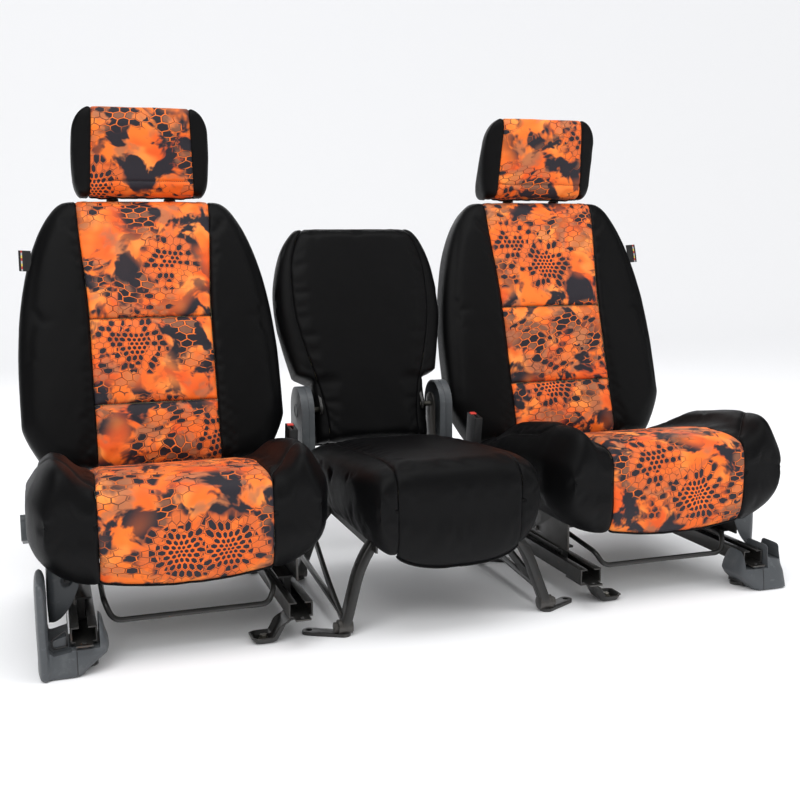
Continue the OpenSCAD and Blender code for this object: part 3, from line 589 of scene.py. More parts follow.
def lathe(profile, centre, axis, sides=32):
    """A turned part: profile lists (distance along the axis, radius) in millimetres; centre in metres."""
    turn = np.array(Vector(axis).normalized().to_track_quat("Z", "Y").to_matrix())
    a = circle(sides)
    rings = [np.concatenate([r * np.cos(a), r * np.sin(a), 0 * a + along], 1) * MM @ turn.T + centre
             for along, r in profile]
    return loft(rings, crease=40)


def ring_stack(levels, count=56, e=0.42):
    """Closed solid through level outlines: each level is (height, centre x, centre y, half x, half y)."""
    a = circle(count)
    x, y = spow(np.cos(a), e), spow(np.sin(a), e)
    rings = [np.concatenate([cx + wx * x, cy + wy * y, 0 * a + z], 1) for z, cx, cy, wx, wy in levels]
    return loft(np.array(rings) * MM)


def prism(outline, y1, y2):
    """Closed solid: an outline in x and z, run along y. Millimetres."""
    return loft([[(x * MM, y * MM, z * MM) for x, z in outline] for y in (y1, y2)])


def rounded_path(corners, radius, steps=8):
    """A path through corner points whose bends are arcs of about the given radius."""
    corners = [np.array(c, float) for c in corners]
    out = [corners[0]]
    for a, b, c in zip(corners, corners[1:], corners[2:]):
        reach = min(radius, 0.45 * length(a - b), 0.45 * length(c - b))
        start, stop = (b + (end - b) / length(end - b) * reach for end in (a, c))
        out += [(1 - t) ** 2 * start + 2 * t * (1 - t) * b + t ** 2 * stop for t in np.linspace(0, 1, steps)]
    out.append(corners[-1])
    dense = [out[0]]
    for a, b in zip(out, out[1:]):
        steps = max(1, int(length(b - a) / 12))
        dense += [mix(a, b, k / steps) for k in range(1, steps + 1)]
    return np.array(dense)


def join_meshes(name, meshes):
    """One mesh from several; the sources are removed."""
    bm = bmesh.new()
    for m in meshes:
        bm.from_mesh(m)
        bpy.data.meshes.remove(m)
    joined = bpy.data.meshes.new(name)
    bm.to_mesh(joined)
    bm.free()
    return joined


STITCH = [(-0.5, 0.35), (-0.32, 0.9), (0.0, 1.15), (0.32, 0.9), (0.5, 0.35)]     # share of length, of radius


def stitches(path, pitch=4.6, size=3.1, radius=0.42):
    """A row of sewn stitches along a path given in metres."""
    p = np.array(path, float)
    walk = walked(p)
    a = circle(6)
    sewn_in = []
    for d in np.arange(pitch, walk[-1] / MM - pitch, pitch) * MM:
        c, ahead = (np.array([np.interp(at, walk, p[:, k]) for k in range(3)]) for at in (d, d + MM))
        t = (ahead - c) / max(length(ahead - c), 1e-9)
        u = np.cross(t, [0.31, 0.77, 0.55])
        u /= length(u)
        v = np.cross(t, u)
        around = radius * MM * (np.cos(a) * u + np.sin(a) * v)
        sewn_in.append([c + t * q * size * MM + r * around for q, r in STITCH])
    return loft(*sewn_in)


# ---------------------------------------------------------------- materials
class Shader:
    """Short names for building a material's node tree."""

    def __init__(self, name, roughness=0.6):
        self.material = bpy.data.materials.new(name)
        self.material.use_nodes = True
        self.nodes, self.links = self.material.node_tree.nodes, self.material.node_tree.links
        self.surface = self.nodes["Principled BSDF"]
        self.set("Roughness", roughness)

    def wire(self, inputs, socket, value):
        """Feeds an input with another node's output or with a plain value."""
        if isinstance(value, bpy.types.NodeSocket):
            self.links.new(value, inputs[socket])
        elif value is not None:
            inputs[socket].default_value = value

    def set(self, socket, value):
        self.wire(self.surface.inputs, socket, value)

    def node(self, kind, inputs, out=0, **settings):
        """One output of a new node with these settings and inputs."""
        node = self.nodes.new("ShaderNode" + kind)
        for name, value in settings.items():
            setattr(node, name, value)
        for socket, value in inputs.items():
            self.wire(node.inputs, socket, value)
        return node.outputs[out]

    def math(self, operation, a, b=None):
        return self.node("Math", {0: a, 1: b}, operation=operation)

    def plus(self, a, b):
        return self.math("ADD", a, b)

    def minus(self, a, b):
        return self.math("SUBTRACT", a, b)

    def times(self, a, b):
        return self.math("MULTIPLY", a, b)

    def vector(self, operation, a, b=None, c=None, scale=None):
        out = 1 if operation == "LENGTH" else 0
        return self.node("VectorMath", {0: a, 1: b, 2: c, 3: scale}, out, operation=operation)

    def split(self, v):
        return tuple(self.node("SeparateXYZ", {0: v}).node.outputs)

    def step(self, value, low, high):
        """Smooth rise from 0 at low to 1 at high; falls when low is the larger."""
        start, stop = (1.0, 0.0) if low > high else (0.0, 1.0)
        inputs = {0: value, 1: min(low, high), 2: max(low, high), 3: start, 4: stop}
        return self.node("MapRange", inputs, interpolation_type="SMOOTHSTEP")

    def noise(self, v, scale, detail=2.0, rough=0.5, distortion=0.0, color=False):
        inputs = {"Vector": v, "Scale": scale, "Detail": detail, "Roughness": rough, "Distortion": distortion}
        return self.node("TexNoise", inputs, 1 if color else 0)

    def white(self, v):
        return self.node("TexWhiteNoise", {"Vector": v})

    def cells(self, v, scale):
        return self.node("TexVoronoi", {"Vector": v, "Scale": scale}).node

    def mix(self, share, a, b):
        """A colour between a and b, which may be wires or plain colours."""
        a, b = ((*c, 1.0) if isinstance(c, tuple) else c for c in (a, b))
        return self.node("Mix", {0: share, 6: a, 7: b}, 2, data_type="RGBA")

    def blend(self, share, a, b):
        return self.node("Mix", {0: share, 2: a, 3: b})

    def bump(self, height, distance, strength):
        inputs = {"Strength": strength, "Distance": distance, "Height": height}
        self.set("Normal", self.node("Bump", inputs))

    def cloth_place(self):
        return self.node("UVMap", {}, uv_map="cloth")

    def solid_place(self):
        return self.node("TexCoord", {}, "Object")

    def edges(self, low, high):
        """Rises from 0 to 1 towards outer edges and corners."""
        return self.step(self.node("NewGeometry", {}, "Pointiness"), low, high)

    def knit(self, uv, pitch=0.0013):
        """Height of a fine knit: rows of small loops."""
        x, y, _ = self.split(uv)
        turn = 2 * math.pi / pitch
        a = self.math("SINE", self.times(x, turn))
        b = self.math("SINE", self.times(y, turn * 0.8))
        return self.times(a, b)

    def hexes(self, p, pitch):
        """Honeycomb: distance from the nearest cell wall (0 to 0.5) and a random value for each cell."""
        size, half = (1.0, math.sqrt(3), 1.0), (0.5, math.sqrt(3) / 2, 0.0)
        q = self.vector("SCALE", p, scale=1 / pitch)
        zero = (0.0, 0.0, 0.0)
        a = self.vector("SUBTRACT", self.vector("WRAP", q, size, zero), half)
        b = self.vector("SUBTRACT", self.vector("WRAP", self.vector("SUBTRACT", q, half), size, zero), half)
        nearer = self.math("LESS_THAN", self.vector("LENGTH", a), self.vector("LENGTH", b))
        g = self.node("Mix", {0: nearer, 4: b, 5: a}, 1, data_type="VECTOR")
        x, y, _ = self.split(self.vector("ABSOLUTE", g))
        slant = self.plus(self.times(x, 0.5), self.times(y, 0.8660254))
        wall = self.minus(0.5, self.math("MAXIMUM", x, slant))
        cell = self.vector("MULTIPLY", self.vector("SUBTRACT", q, g), (2.0, 2 / math.sqrt(3), 1.0))
        cell = self.vector("FLOOR", self.vector("ADD", cell, (0.5, 0.5, 0.5)))
        return wall, self.white(cell)


ORANGE, LIGHT_ORANGE, DEEP_ORANGE = (0.88, 0.175, 0.018), (0.93, 0.26, 0.045), (0.76, 0.095, 0.010)
BROWN, CHARCOAL, LINE = (0.36, 0.135, 0.062), (0.011, 0.015, 0.024), (0.050, 0.022, 0.016)


def printed_cloth():
    """Generic print: soft smudges, honeycomb rosettes and outlined scales on orange knit."""
    m = Shader("printed_cloth", 0.62)
    uv = m.cloth_place()
    flow = m.vector("SUBTRACT", m.noise(uv, 8.0, 2.0, 0.5, 0.3, color=True), (0.5, 0.5, 0.5))
    fine_flow = m.vector("SUBTRACT", m.noise(uv, 55.0, 1.0, 0.5, color=True), (0.5, 0.5, 0.5))
    warped = m.vector("ADD", uv, m.vector("SCALE", flow, scale=0.055))
    wavy = m.vector("ADD", uv, m.vector("SCALE", fine_flow, scale=0.0035))
    # ground
    tone = m.noise(warped, 9.0, 2.0, 0.5)
    color = m.mix(m.step(tone, 0.38, 0.62), DEEP_ORANGE, ORANGE)
    color = m.mix(m.step(m.noise(warped, 13.0, 2.0, 0.5), 0.48, 0.66), color, LIGHT_ORANGE)
    brown = m.step(m.noise(m.vector("ADD", warped, (3.1, 0.7, 0.0)), 15.0, 3.0, 0.55), 0.52, 0.64)
    color = m.mix(m.times(brown, 0.8), color, BROWN)
    # soft dark smudges
    smudge = m.noise(m.vector("ADD", warped, (7.3, 2.9, 0.0)), 17.0, 3.5, 0.58, 0.4)
    smudge = m.step(smudge, 0.46, 0.545)
    gather = m.step(m.noise(m.vector("ADD", uv, (1.7, 5.1, 0.0)), 6.0, 1.0, 0.5), 0.32, 0.48)
    smudge = m.times(smudge, gather)
    color = m.mix(smudge, color, CHARCOAL)
    # outlined scales that flow with the cloth
    scaled = m.vector("ADD", warped, m.vector("SCALE", fine_flow, scale=0.006))
    scaled = m.vector("MULTIPLY", scaled, (0.72, 1.25, 1.0))
    wall, cell = m.hexes(scaled, 0.0185)
    zone = m.step(m.noise(m.vector("ADD", uv, (4.4, 8.2, 0.0)), 9.0, 2.0, 0.5, 0.6), 0.47, 0.54)
    inside = m.step(wall, 0.075, 0.12)
    dark_cell = m.times(m.step(cell, 0.23, 0.22), m.times(inside, zone))
    brown_cell = m.times(m.step(cell, 0.64, 0.65), m.times(inside, zone))
    color = m.mix(m.times(brown_cell, 0.55), color, BROWN)
    line = m.times(m.step(wall, 0.065, 0.03), zone)
    color = m.mix(m.times(line, 0.9), color, m.mix(smudge, LINE, ORANGE))
    color = m.mix(dark_cell, color, CHARCOAL)
    # rosettes: a honeycomb whose cells grow and stretch away from the middle
    rosette = m.cells(wavy, 6.6)
    offset = m.vector("SUBTRACT", wavy, rosette.outputs["Position"])
    radius = m.math("MAXIMUM", m.vector("LENGTH", offset), 0.0001)
    grow = 0.015
    shrunk = m.times(m.math("LOGARITHM", m.plus(m.math("DIVIDE", radius, grow), 1.0), math.e), grow)
    tight = m.vector("SCALE", offset, scale=m.math("DIVIDE", shrunk, radius))
    wall, cell = m.hexes(tight, 0.0056)
    pick, _, _ = m.split(rosette.outputs["Color"])
    edge = m.plus(radius, m.times(m.minus(m.noise(uv, 26.0, 2.0), 0.5), 0.055))
    here = m.times(m.step(edge, 0.072, 0.062), m.step(pick, 0.22, 0.24))
    rim = m.step(radius, 0.018, 0.062)
    dark = m.math("GREATER_THAN", m.plus(cell, 0.12), m.times(rim, 0.72))
    edge_width = m.blend(rim, 0.135, 0.075)
    fill = m.step(m.minus(wall, edge_width), 0.0, 0.035)
    fill = m.times(m.times(fill, dark), here)
    thin = m.times(m.step(wall, 0.045, 0.02), m.times(here, m.step(radius, 0.02, 0.04)))
    ground = m.mix(m.step(smudge, 0.2, 0.8), color, m.mix(rim, ORANGE, BROWN))
    color = m.mix(m.times(here, 0.85), color, m.mix(tone, ORANGE, DEEP_ORANGE))
    color = m.mix(m.times(m.times(here, rim), 0.25), color, ground)
    color = m.mix(m.times(thin, 0.9), color, LINE)
    color = m.mix(fill, color, CHARCOAL)
    worn = m.noise(uv, 300.0, 2.0)
    color = m.mix(m.times(worn, 0.02), color, LIGHT_ORANGE)
    m.set("Base Color", color)
    m.set("Roughness", m.blend(worn, 0.50, 0.66))
    m.set("Specular IOR Level", 0.26)
    m.set("Sheen Weight", 0.03)
    m.set("Sheen Roughness", 0.4)
    m.bump(m.knit(uv), 0.00008, 0.5)
    return m.material


def black_cloth():
    """Smooth foam-backed knit, nearly black, with a satin sheen."""
    m = Shader("black_cloth")
    uv = m.cloth_place()
    patchy = m.noise(m.solid_place(), 6.0, 3.0)
    fibre = m.noise(uv, 900.0, 2.0)
    color = m.mix(patchy, (0.0012, 0.0012, 0.0014), (0.0024, 0.0024, 0.0027))
    m.set("Base Color", m.mix(m.times(fibre, 0.25), color, (0.005, 0.005, 0.006)))
    m.set("Roughness", m.blend(fibre, 0.40, 0.56))
    m.set("Specular IOR Level", 0.14)
    m.set("Sheen Weight", 0.01)
    m.set("Sheen Roughness", 0.35)
    m.set("Sheen Tint", (0.8, 0.85, 1.0, 1.0))
    m.bump(m.plus(m.knit(uv), m.times(fibre, 0.6)), 0.00009, 0.5)
    return m.material


def webbing(name, dark, light, pitch=0.0016):
    """Ribbed woven tape."""
    m = Shader(name, 0.75)
    p = m.solid_place()
    x, y, z = m.split(p)
    along = m.math("SINE", m.times(m.plus(y, z), 2 * math.pi / pitch))
    across = m.math("SINE", m.times(x, 2 * math.pi / pitch))
    weave = m.times(along, across)
    m.set("Base Color", m.mix(m.step(weave, -0.4, 0.6), dark, light))
    m.set("Sheen Weight", 0.2)
    m.bump(weave, 0.0003, 0.8)
    return m.material


def foam_material():
    m = Shader("seat_foam", 0.95)
    p = m.solid_place()
    pores = m.cells(p, 420.0).outputs["Distance"]
    age = m.noise(p, 7.0, 4.0)
    color = m.mix(m.step(age, 0.35, 0.7), (0.42, 0.37, 0.22), (0.52, 0.47, 0.31))
    m.set("Base Color", m.mix(m.step(pores, 0.35, 0.1), color, (0.22, 0.18, 0.10)))
    m.set("Subsurface Weight", 0.15)
    m.set("Subsurface Radius", (0.004, 0.003, 0.002))
    m.bump(pores, 0.0008, 0.8)
    return m.material


def painted_steel():
    """Black dip coating with dust, fine orange peel and rust where bolts and edges rub."""
    m = Shader("black_steel", 0.35)
    p = m.solid_place()
    dust = m.noise(p, 22.0, 5.0, 0.6)
    rust = m.step(m.noise(p, 42.0, 6.0, 0.7, 0.8), 0.655, 0.72)
    edge = m.edges(0.53, 0.60)
    color = m.mix(m.times(dust, 0.6), (0.010, 0.010, 0.010), (0.032, 0.031, 0.028))
    color = m.mix(m.times(edge, 0.45), color, (0.11, 0.10, 0.09))
    color = m.mix(m.times(rust, 0.8), color, (0.12, 0.052, 0.022))
    m.set("Base Color", color)
    m.set("Metallic", 0.15)
    m.set("Roughness", m.blend(m.math("MAXIMUM", dust, rust), 0.24, 0.58))
    m.set("Coat Weight", 0.25)
    m.set("Coat Roughness", 0.2)
    m.bump(m.plus(m.noise(p, 260.0, 2.0), m.times(rust, 1.5)), 0.00025, 0.5)
    return m.material


def bright_metal(name, color, low, high, grain):
    m = Shader(name)
    p = m.solid_place()
    brushed = m.noise(m.vector("MULTIPLY", p, (grain, 40.0, grain)), 8.0, 4.0)
    smear = m.noise(p, 30.0, 3.0)
    m.set("Base Color", m.mix(m.times(smear, 0.4), color, tuple(c * 0.55 for c in color)))
    m.set("Metallic", 1.0)
    m.set("Roughness", m.blend(brushed, low, high))
    m.bump(brushed, 0.00005, 0.4)
    return m.material


def moulded_plastic(name, color, scuff, rough=(0.42, 0.62)):
    """Grained moulded plastic with scuffs and pale edges."""
    m = Shader(name)
    p = m.solid_place()
    grain = m.cells(p, 700.0).outputs["Distance"]
    worn = m.step(m.noise(p, 30.0, 6.0, 0.65), 0.52, 0.75)
    lines = m.noise(m.vector("MULTIPLY", p, (14.0, 90.0, 18.0)), 4.0, 3.0)
    scratch = m.step(lines, 0.63, 0.70)
    edge = m.edges(0.52, 0.60)
    tone = m.mix(m.times(worn, 0.5), color, scuff)
    tone = m.mix(m.times(scratch, 0.3), tone, scuff)
    m.set("Base Color", m.mix(m.times(edge, 0.5), tone, scuff))
    m.set("Roughness", m.blend(worn, *rough))
    m.set("Specular IOR Level", 0.42)
    m.bump(grain, 0.00022, 0.5)
    return m.material


def tag_material():
    """Dark ribbed tape with a band of plain coloured stripes."""
    m = Shader("woven_tag", 0.7)
    x, y, _ = m.split(m.cloth_place())
    band = m.times(m.step(x, 0.2560, 0.2563), m.step(x, 0.2592, 0.2589))
    stripe = m.math("FRACT", m.times(y, 1 / 0.018))
    color = m.mix(m.step(stripe, 0.33, 0.34), (0.45, 0.04, 0.03), (0.6, 0.5, 0.1))
    color = m.mix(m.step(stripe, 0.66, 0.67), color, (0.4, 0.4, 0.4))
    rib = m.math("SINE", m.times(y, 2 * math.pi / 0.0007))
    ground = m.mix(m.step(rib, -0.2, 0.6), (0.006, 0.006, 0.006), (0.022, 0.022, 0.022))
    m.set("Base Color", m.mix(band, ground, color))
    m.bump(rib, 0.0002, 0.7)
    return m.material


FINISH = {
    "printed_cloth": printed_cloth(),
    "black_cloth": black_cloth(),
    "strap_web": webbing("strap_web", (0.004, 0.004, 0.004), (0.03, 0.03, 0.032)),
    "seat_foam": foam_material(),
    "black_steel": painted_steel(),
    "zinc_steel": bright_metal("zinc_steel", (0.52, 0.50, 0.44), 0.28, 0.5, 6.0),
    "chromed_rod": bright_metal("chromed_rod", (0.78, 0.79, 0.80), 0.06, 0.16, 2.0),
    "grey_plastic": moulded_plastic("grey_plastic", (0.058, 0.064, 0.070), (0.13, 0.14, 0.145)),
    "black_plastic": moulded_plastic(
        "black_plastic", (0.011, 0.011, 0.012), (0.05, 0.05, 0.05), (0.35, 0.55)),
    "red_plastic": moulded_plastic("red_plastic", (0.55, 0.030, 0.022), (0.68, 0.16, 0.13), (0.3, 0.45)),
    "sewing_thread": webbing("sewing_thread", (0.003, 0.003, 0.003), (0.018, 0.018, 0.019), 0.0009),
    "woven_tag": tag_material(),
}
SLOT_OF = {part["node"]: part["material_slot"] for part in frame["record"]["subparts"] if "node" in part}


# ---------------------------------------------------------------- fitted covers
PADS = {"back": back_pad, "cushion": cushion_pad, "head": head_pad, "centre_back": centre_back_pad,
        "centre_cushion": centre_cushion_pad}
CROSS_SEAMS = [back_pad.station(SEAM_LOW), back_pad.station(SEAM_HIGH)]
SIM = {}
for name, pad in PADS.items():
    SIM[name] = simulate(pad, CROSS_SEAMS if name == "back" else ())


def crop(uv, shift, turn=0.0, side=1):
    """Moves and turns a panel's place on the printed cloth; shift is in millimetres of cloth."""
    c, s = math.cos(turn), math.sin(turn)
    u, v = uv[..., 0] * side, uv[..., 1]
    return np.stack([u * c - v * s + shift[0], u * s + v * c + shift[1]], -1)


def join_rows(first, second):
    """One grid from two that meet at a row, with cloth places carried on."""
    points = np.concatenate([first[0], second[0][1:]])
    uv = second[1][1:].copy()
    uv[..., 1] += first[1][-1, :, 1].mean() - second[1][0, :, 1].mean()
    return points, np.concatenate([first[1], uv])


def wrapped(pad, low, high, sim, under=None, over=None, seam_rows=(), keep=()):
    """A front panel that may carry on round the pad's low end (under) or its high end (over)."""
    us = stations(pad, low, high, CELL, keep)
    grid = sewn(pad, us, "front", sim, 1, seam_rows)
    if under is not None:
        below = stations(pad, low, under, CELL)[::-1]
        part = fit_columns(sewn(pad, below, "under", sim), grid[0].shape[1])
        grid = join_rows(part, grid)
    if over is not None:
        behind = stations(pad, over, high, CELL)[::-1]
        part = fit_columns(sewn(pad, behind, "rear", sim), grid[0].shape[1])
        grid = join_rows(grid, part)
    return grid


def fit_columns(part, cols):
    """The same grid with another number of columns."""
    points, uv = part
    at = np.linspace(0, points.shape[1] - 1, cols)
    i = np.clip(np.floor(at).astype(int), 0, points.shape[1] - 2)
    t = (at - i)[None, :, None]
    return mix(points[:, i], points[:, i + 1], t), mix(uv[:, i], uv[:, i + 1], t)


def wings(pad, low, high, sim):
    """Both side panels of a pad."""
    us = stations(pad, low, high, CELL)
    return [(*sewn(pad, us, "wing", sim, s), way) for s, way in ((-1, INNER), (1, OUT))]


def cover(name, grids, side, body, finish, *nodes):
    return thicken(link(name, grid_mesh(name, grids, side), finish, body, *nodes))


def seam_stitches(name, lines, side, body):
    """Rows of black stitches along lines of points given in the pad's millimetres."""
    rows = [stitches(place(line, side)) for line in lines]
    return link(name, join_meshes(name, rows), "sewing_thread", body)


def welt(name, line, shift, side, body, radius):
    """A rolled hem along a panel's edge, shifted by a few millimetres."""
    return link(name, tube_mesh(place(line + np.array(shift), side), radius, 10), "black_cloth", body)


def piping(name, panels, side, body):
    """Black cord sewn into both long seams of the print."""
    cords = []
    for points in panels:
        core = np.repeat(points.reshape(-1, 3).mean(0)[None], len(points), 0)
        n = normals(points, core)
        cords += [tube_mesh(place(points[:, col] - n[:, col] * PIPING, side), PIPING, 8) for col in (0, -1)]
    return link(name, join_meshes(name, cords), "black_cloth", body)


# Where panels end along their pads; below 0 and above 1 they run round a pad's end
BACK_HEM, BACK_REAR_HEM, BACK_TOP_SEAM = -0.97, -0.7, 1.5
CUSHION_HEM, CUSHION_REAR_SEAM = -0.46, 1.65
HEAD_HEM, HEAD_REAR_HEM, HEAD_FOLD = -0.85, -0.4, 0.06
CENTRE_HEM, CENTRE_REAR_HEM, CENTRE_TOP_SEAM = -0.97, -0.93, 1.8


def backrest_covers(person, side):
    body, sim = f"{person}_backrest", SIM.get("back")
    low, high = CROSS_SEAMS
    spans = [(BACK_HEM, low - SEAM_CLEAR), (low + SEAM_CLEAR, high - SEAM_CLEAR),
             (high + SEAM_CLEAR, 1 + TIP)]
    crops = {"passenger": [(30, 40, 0.2), (310, 220, 0.0), (95, 512, -0.1)],
             "driver": [(700, 130, 0.1), (420, 655, 0.4), (905, 340, 0.0)]}[person]
    grids, lines = [], []
    for i, ((a, b), (u, v, turn)) in enumerate(zip(spans, crops)):
        seams = [np.clip(x, a, b) for x in CROSS_SEAMS if min(abs(x - a), abs(x - b)) < 0.01]
        grid = wrapped(back_pad, a, b, sim, over=BACK_TOP_SEAM if i == 2 else None, seam_rows=seams)
        grids.append((grid[0], crop(grid[1], (u, v), turn, side), FRONT))
        if i:
            lines.append(grid[0][0, 2:-2] + np.array([0, -0.3, 0.8]))
    cover(f"{person}_back_print", grids, side, body, "printed_cloth", f"{person}_back_cover_center")
    seam_stitches(f"{person}_back_stitches", lines, side, body)
    piping(f"{person}_back_piping", [grid[0] for grid in grids], side, body)
    cover(f"{person}_back_wings", wings(back_pad, BACK_HEM, 1 + TIP, sim), side, body, "black_cloth",
          f"{person}_back_cover_wings")
    rear = sewn(back_pad, stations(back_pad, BACK_REAR_HEM, BACK_TOP_SEAM, CELL), "rear", sim)
    cover(f"{person}_back_rear", [(*rear, REAR)], side, body, "black_cloth", f"{person}_back_cover_rear")
    welt(f"{person}_back_hem", rear[0][0], (0, 1.2, -1.0), side, body, 2.4)
    welt(f"{person}_back_front_hem", grids[0][0][0], (0, 1.0, -0.8), side, body, 2.0)


def cushion_covers(person, side):
    body, sim = f"{person}_seat", SIM.get("cushion")
    u, v, turn = {"passenger": (505, 60, 0.0), "driver": (160, 810, 0.1)}[person]
    grid = wrapped(cushion_pad, -TIP, 1 + TIP, sim, CUSHION_HEM, CUSHION_REAR_SEAM)
    cover(f"{person}_cushion_print", [(grid[0], crop(grid[1], (u, v), turn, side), UP)], side, body,
          "printed_cloth", f"{person}_cushion_cover_center")
    welt(f"{person}_cushion_hem", grid[0][0], (0, 0.6, -1.4), side, body, 2.3)
    piping(f"{person}_cushion_piping", [grid[0]], side, body)
    us = stations(cushion_pad, -TIP, 1 + TIP, CELL)
    sides, lines = [], []
    for s in (-1, 1):
        points, uv = sewn(cushion_pad, us, "wing", sim, s)
        points, line = bolster_seam(points, us, s)
        sides.append((points, uv, OUT if s > 0 else INNER))
        lines.append(line)
    cover(f"{person}_cushion_sides", sides, side, body, "black_cloth", f"{person}_cushion_cover_sides")
    seam_stitches(f"{person}_cushion_stitches", lines, side, body)


def bolster_seam(points, us, s):
    """Sinks a curved seam into a cushion's side, from the print's front corner to the bolster's shoulder."""
    rows, cols = points.shape[:2]
    t = np.linspace(0, 1, 160)
    row = mix(np.interp(-0.62, us, np.arange(rows)), np.interp(0.86, us, np.arange(rows)), t)
    share = 1 - 0.36 * smooth(t / 0.42) - 0.05 * t
    i, j = np.clip(row, 0, rows - 2).astype(int), np.clip(share * (cols - 1), 0, cols - 2).astype(int)
    ti, tj = (row - i)[:, None], (share * (cols - 1) - j)[:, None]
    line = mix(mix(points[i, j], points[i, j + 1], tj), mix(points[i + 1, j], points[i + 1, j + 1], tj), ti)
    flat = points.reshape(-1, 3)
    near = np.full(len(flat), 1e9)
    for p in line:
        near = np.minimum(near, length(flat - p))
    inside = np.stack([np.full(rows, s * 60.0), points[:, cols // 2, 1], np.full(rows, 250.0)], -1)
    n = normals(points, inside)
    dip = 3.2 * np.exp(-(near / 3.2) ** 2) + 1.4 * np.exp(-near / 9)
    return points - n * dip.reshape(rows, cols)[..., None], line - n[i, j] * 2.0


def headrest_covers(person, side):
    body, sim = f"{person}_headrest", SIM.get("head")
    u, v, turn = {"passenger": (560, 410, 0.0), "driver": (250, 333, 0.2)}[person]
    grid = wrapped(head_pad, HEAD_HEM, 1 + TIP, sim, None, HEAD_REAR_HEM, [HEAD_FOLD], [HEAD_FOLD])
    cover(f"{person}_headrest_print", [(grid[0], crop(grid[1], (u, v), turn, side), FRONT)], side, body,
          "printed_cloth", f"{person}_headrest_cover_center")
    rows = stations(head_pad, HEAD_HEM, 1 + TIP, CELL, [HEAD_FOLD])
    row = int(np.argmin(np.abs(rows - HEAD_FOLD)))
    seam_stitches(f"{person}_headrest_stitches", [grid[0][row, 2:-2] + np.array([0, -0.6, 0])], side, body)
    cover(f"{person}_headrest_sides", wings(head_pad, HEAD_HEM, 1 + TIP, sim), side, body, "black_cloth",
          f"{person}_headrest_cover_sides")
    piping(f"{person}_headrest_piping", [grid[0]], side, body)
    for end, row, y in (("front", 0, 1), ("rear", -1, -1)):
        welt(f"{person}_headrest_{end}_hem", grid[0][row], (0, y, -1), side, body, 2.0)


def centre_covers():
    sim, body = SIM.get("centre_back"), "center_backrest"
    grid = wrapped(centre_back_pad, CENTRE_HEM, 1 + TIP, sim, over=CENTRE_TOP_SEAM)
    cover("center_back_front", [(*grid, FRONT)], 0, body, "black_cloth", "center_back_cover_front")
    sides = wings(centre_back_pad, CENTRE_HEM, 1 + TIP, sim)
    cover("center_back_gussets", sides, 0, body, "black_cloth", "center_back_cover_gussets")
    us = stations(centre_back_pad, CENTRE_REAR_HEM, CENTRE_TOP_SEAM, CELL)
    rear = sewn(centre_back_pad, us, "rear", sim)
    cover("center_back_rear", [(*rear, REAR)], 0, body, "black_cloth", "center_back_cover_rear")
    welt("center_back_hem", rear[0][0], (0, 1, -1), 0, body, 2.2)
    sim = SIM.get("centre_cushion")
    grid = wrapped(centre_cushion_pad, -TIP, 1 + TIP, sim, CUSHION_HEM, CUSHION_REAR_SEAM)
    grids = [(*grid, UP)] + wings(centre_cushion_pad, -TIP, 1 + TIP, sim)
    cover("center_cushion_fitted_cover", grids, 0, "base", "black_cloth", "center_cushion_cover")
    welt("center_cushion_hem", grid[0][0], (0, 0.6, -1.2), 0, "base", 2.2)


# ---------------------------------------------------------------- foam
def foam(name, pad, side, body, node, floor=None):
    """Hidden foam: the pad's own shape, shrunk inside the cover and cut flat where it rests on the pan."""
    us = stations(pad, -TIP, 1 + TIP, FOAM_CELL)[:, None]
    a = np.linspace(0, 2 * math.pi, 85)[None]
    grid = pad.section(us + 0 * a, a + 0 * us, -FOAM_SHRINK)
    grid = grid - 0.4 * ripple(grid, 40)[..., None]
    if floor is not None:
        grid[..., 2] = np.maximum(grid[..., 2], floor)
    return link(name, smoothed(grid_mesh(name, [(grid, grid[..., :2], UP)], side)), "seat_foam", body, node)


# ---------------------------------------------------------------- hard parts
BEVELS = {"buckle": 2.4, "buckle_button": 1.2, "center_hinge_covers": 3.0, "recline_lever": 2.4,
          "lower_rails": 0.7, "upper_rails": 0.7, "seat_frame": 0.8, "center_frame": 0.8, "back_frame": 0.8,
          "center_back_frame": 0.8}


def finish_cad(node, obj):
    """Gives a carried-over CAD part its material, rolled edges and smooth shading."""
    kind = node.split("_", 1)[1] if node.startswith(("passenger_", "driver_")) else node
    mesh = obj.data
    mesh.materials.clear()
    mesh.materials.append(FINISH[SLOT_OF[node]])
    mesh.polygons.foreach_set("material_index", np.zeros(len(mesh.polygons), np.int32))
    obj.modifiers.new("Weld", "WELD").merge_threshold = WELD
    if kind in BEVELS:
        rolled_edges(obj, BEVELS[kind], 3, 32).harden_normals = True
    shade_smooth(mesh, 35)


def screw(centre, axis, r):
    """A pan-head screw with its washer."""
    profile = [(-3, 0.5), (0, 0.5), (0, 1.5), (0.9, 1.6), (1.2, 1.45), (1.2, 1), (2.6, 0.9), (3.4, 0.6),
               (3.4, 0.35), (2.0, 0.3)]
    return lathe([(along, r * share) for along, share in profile], centre, axis, 24)


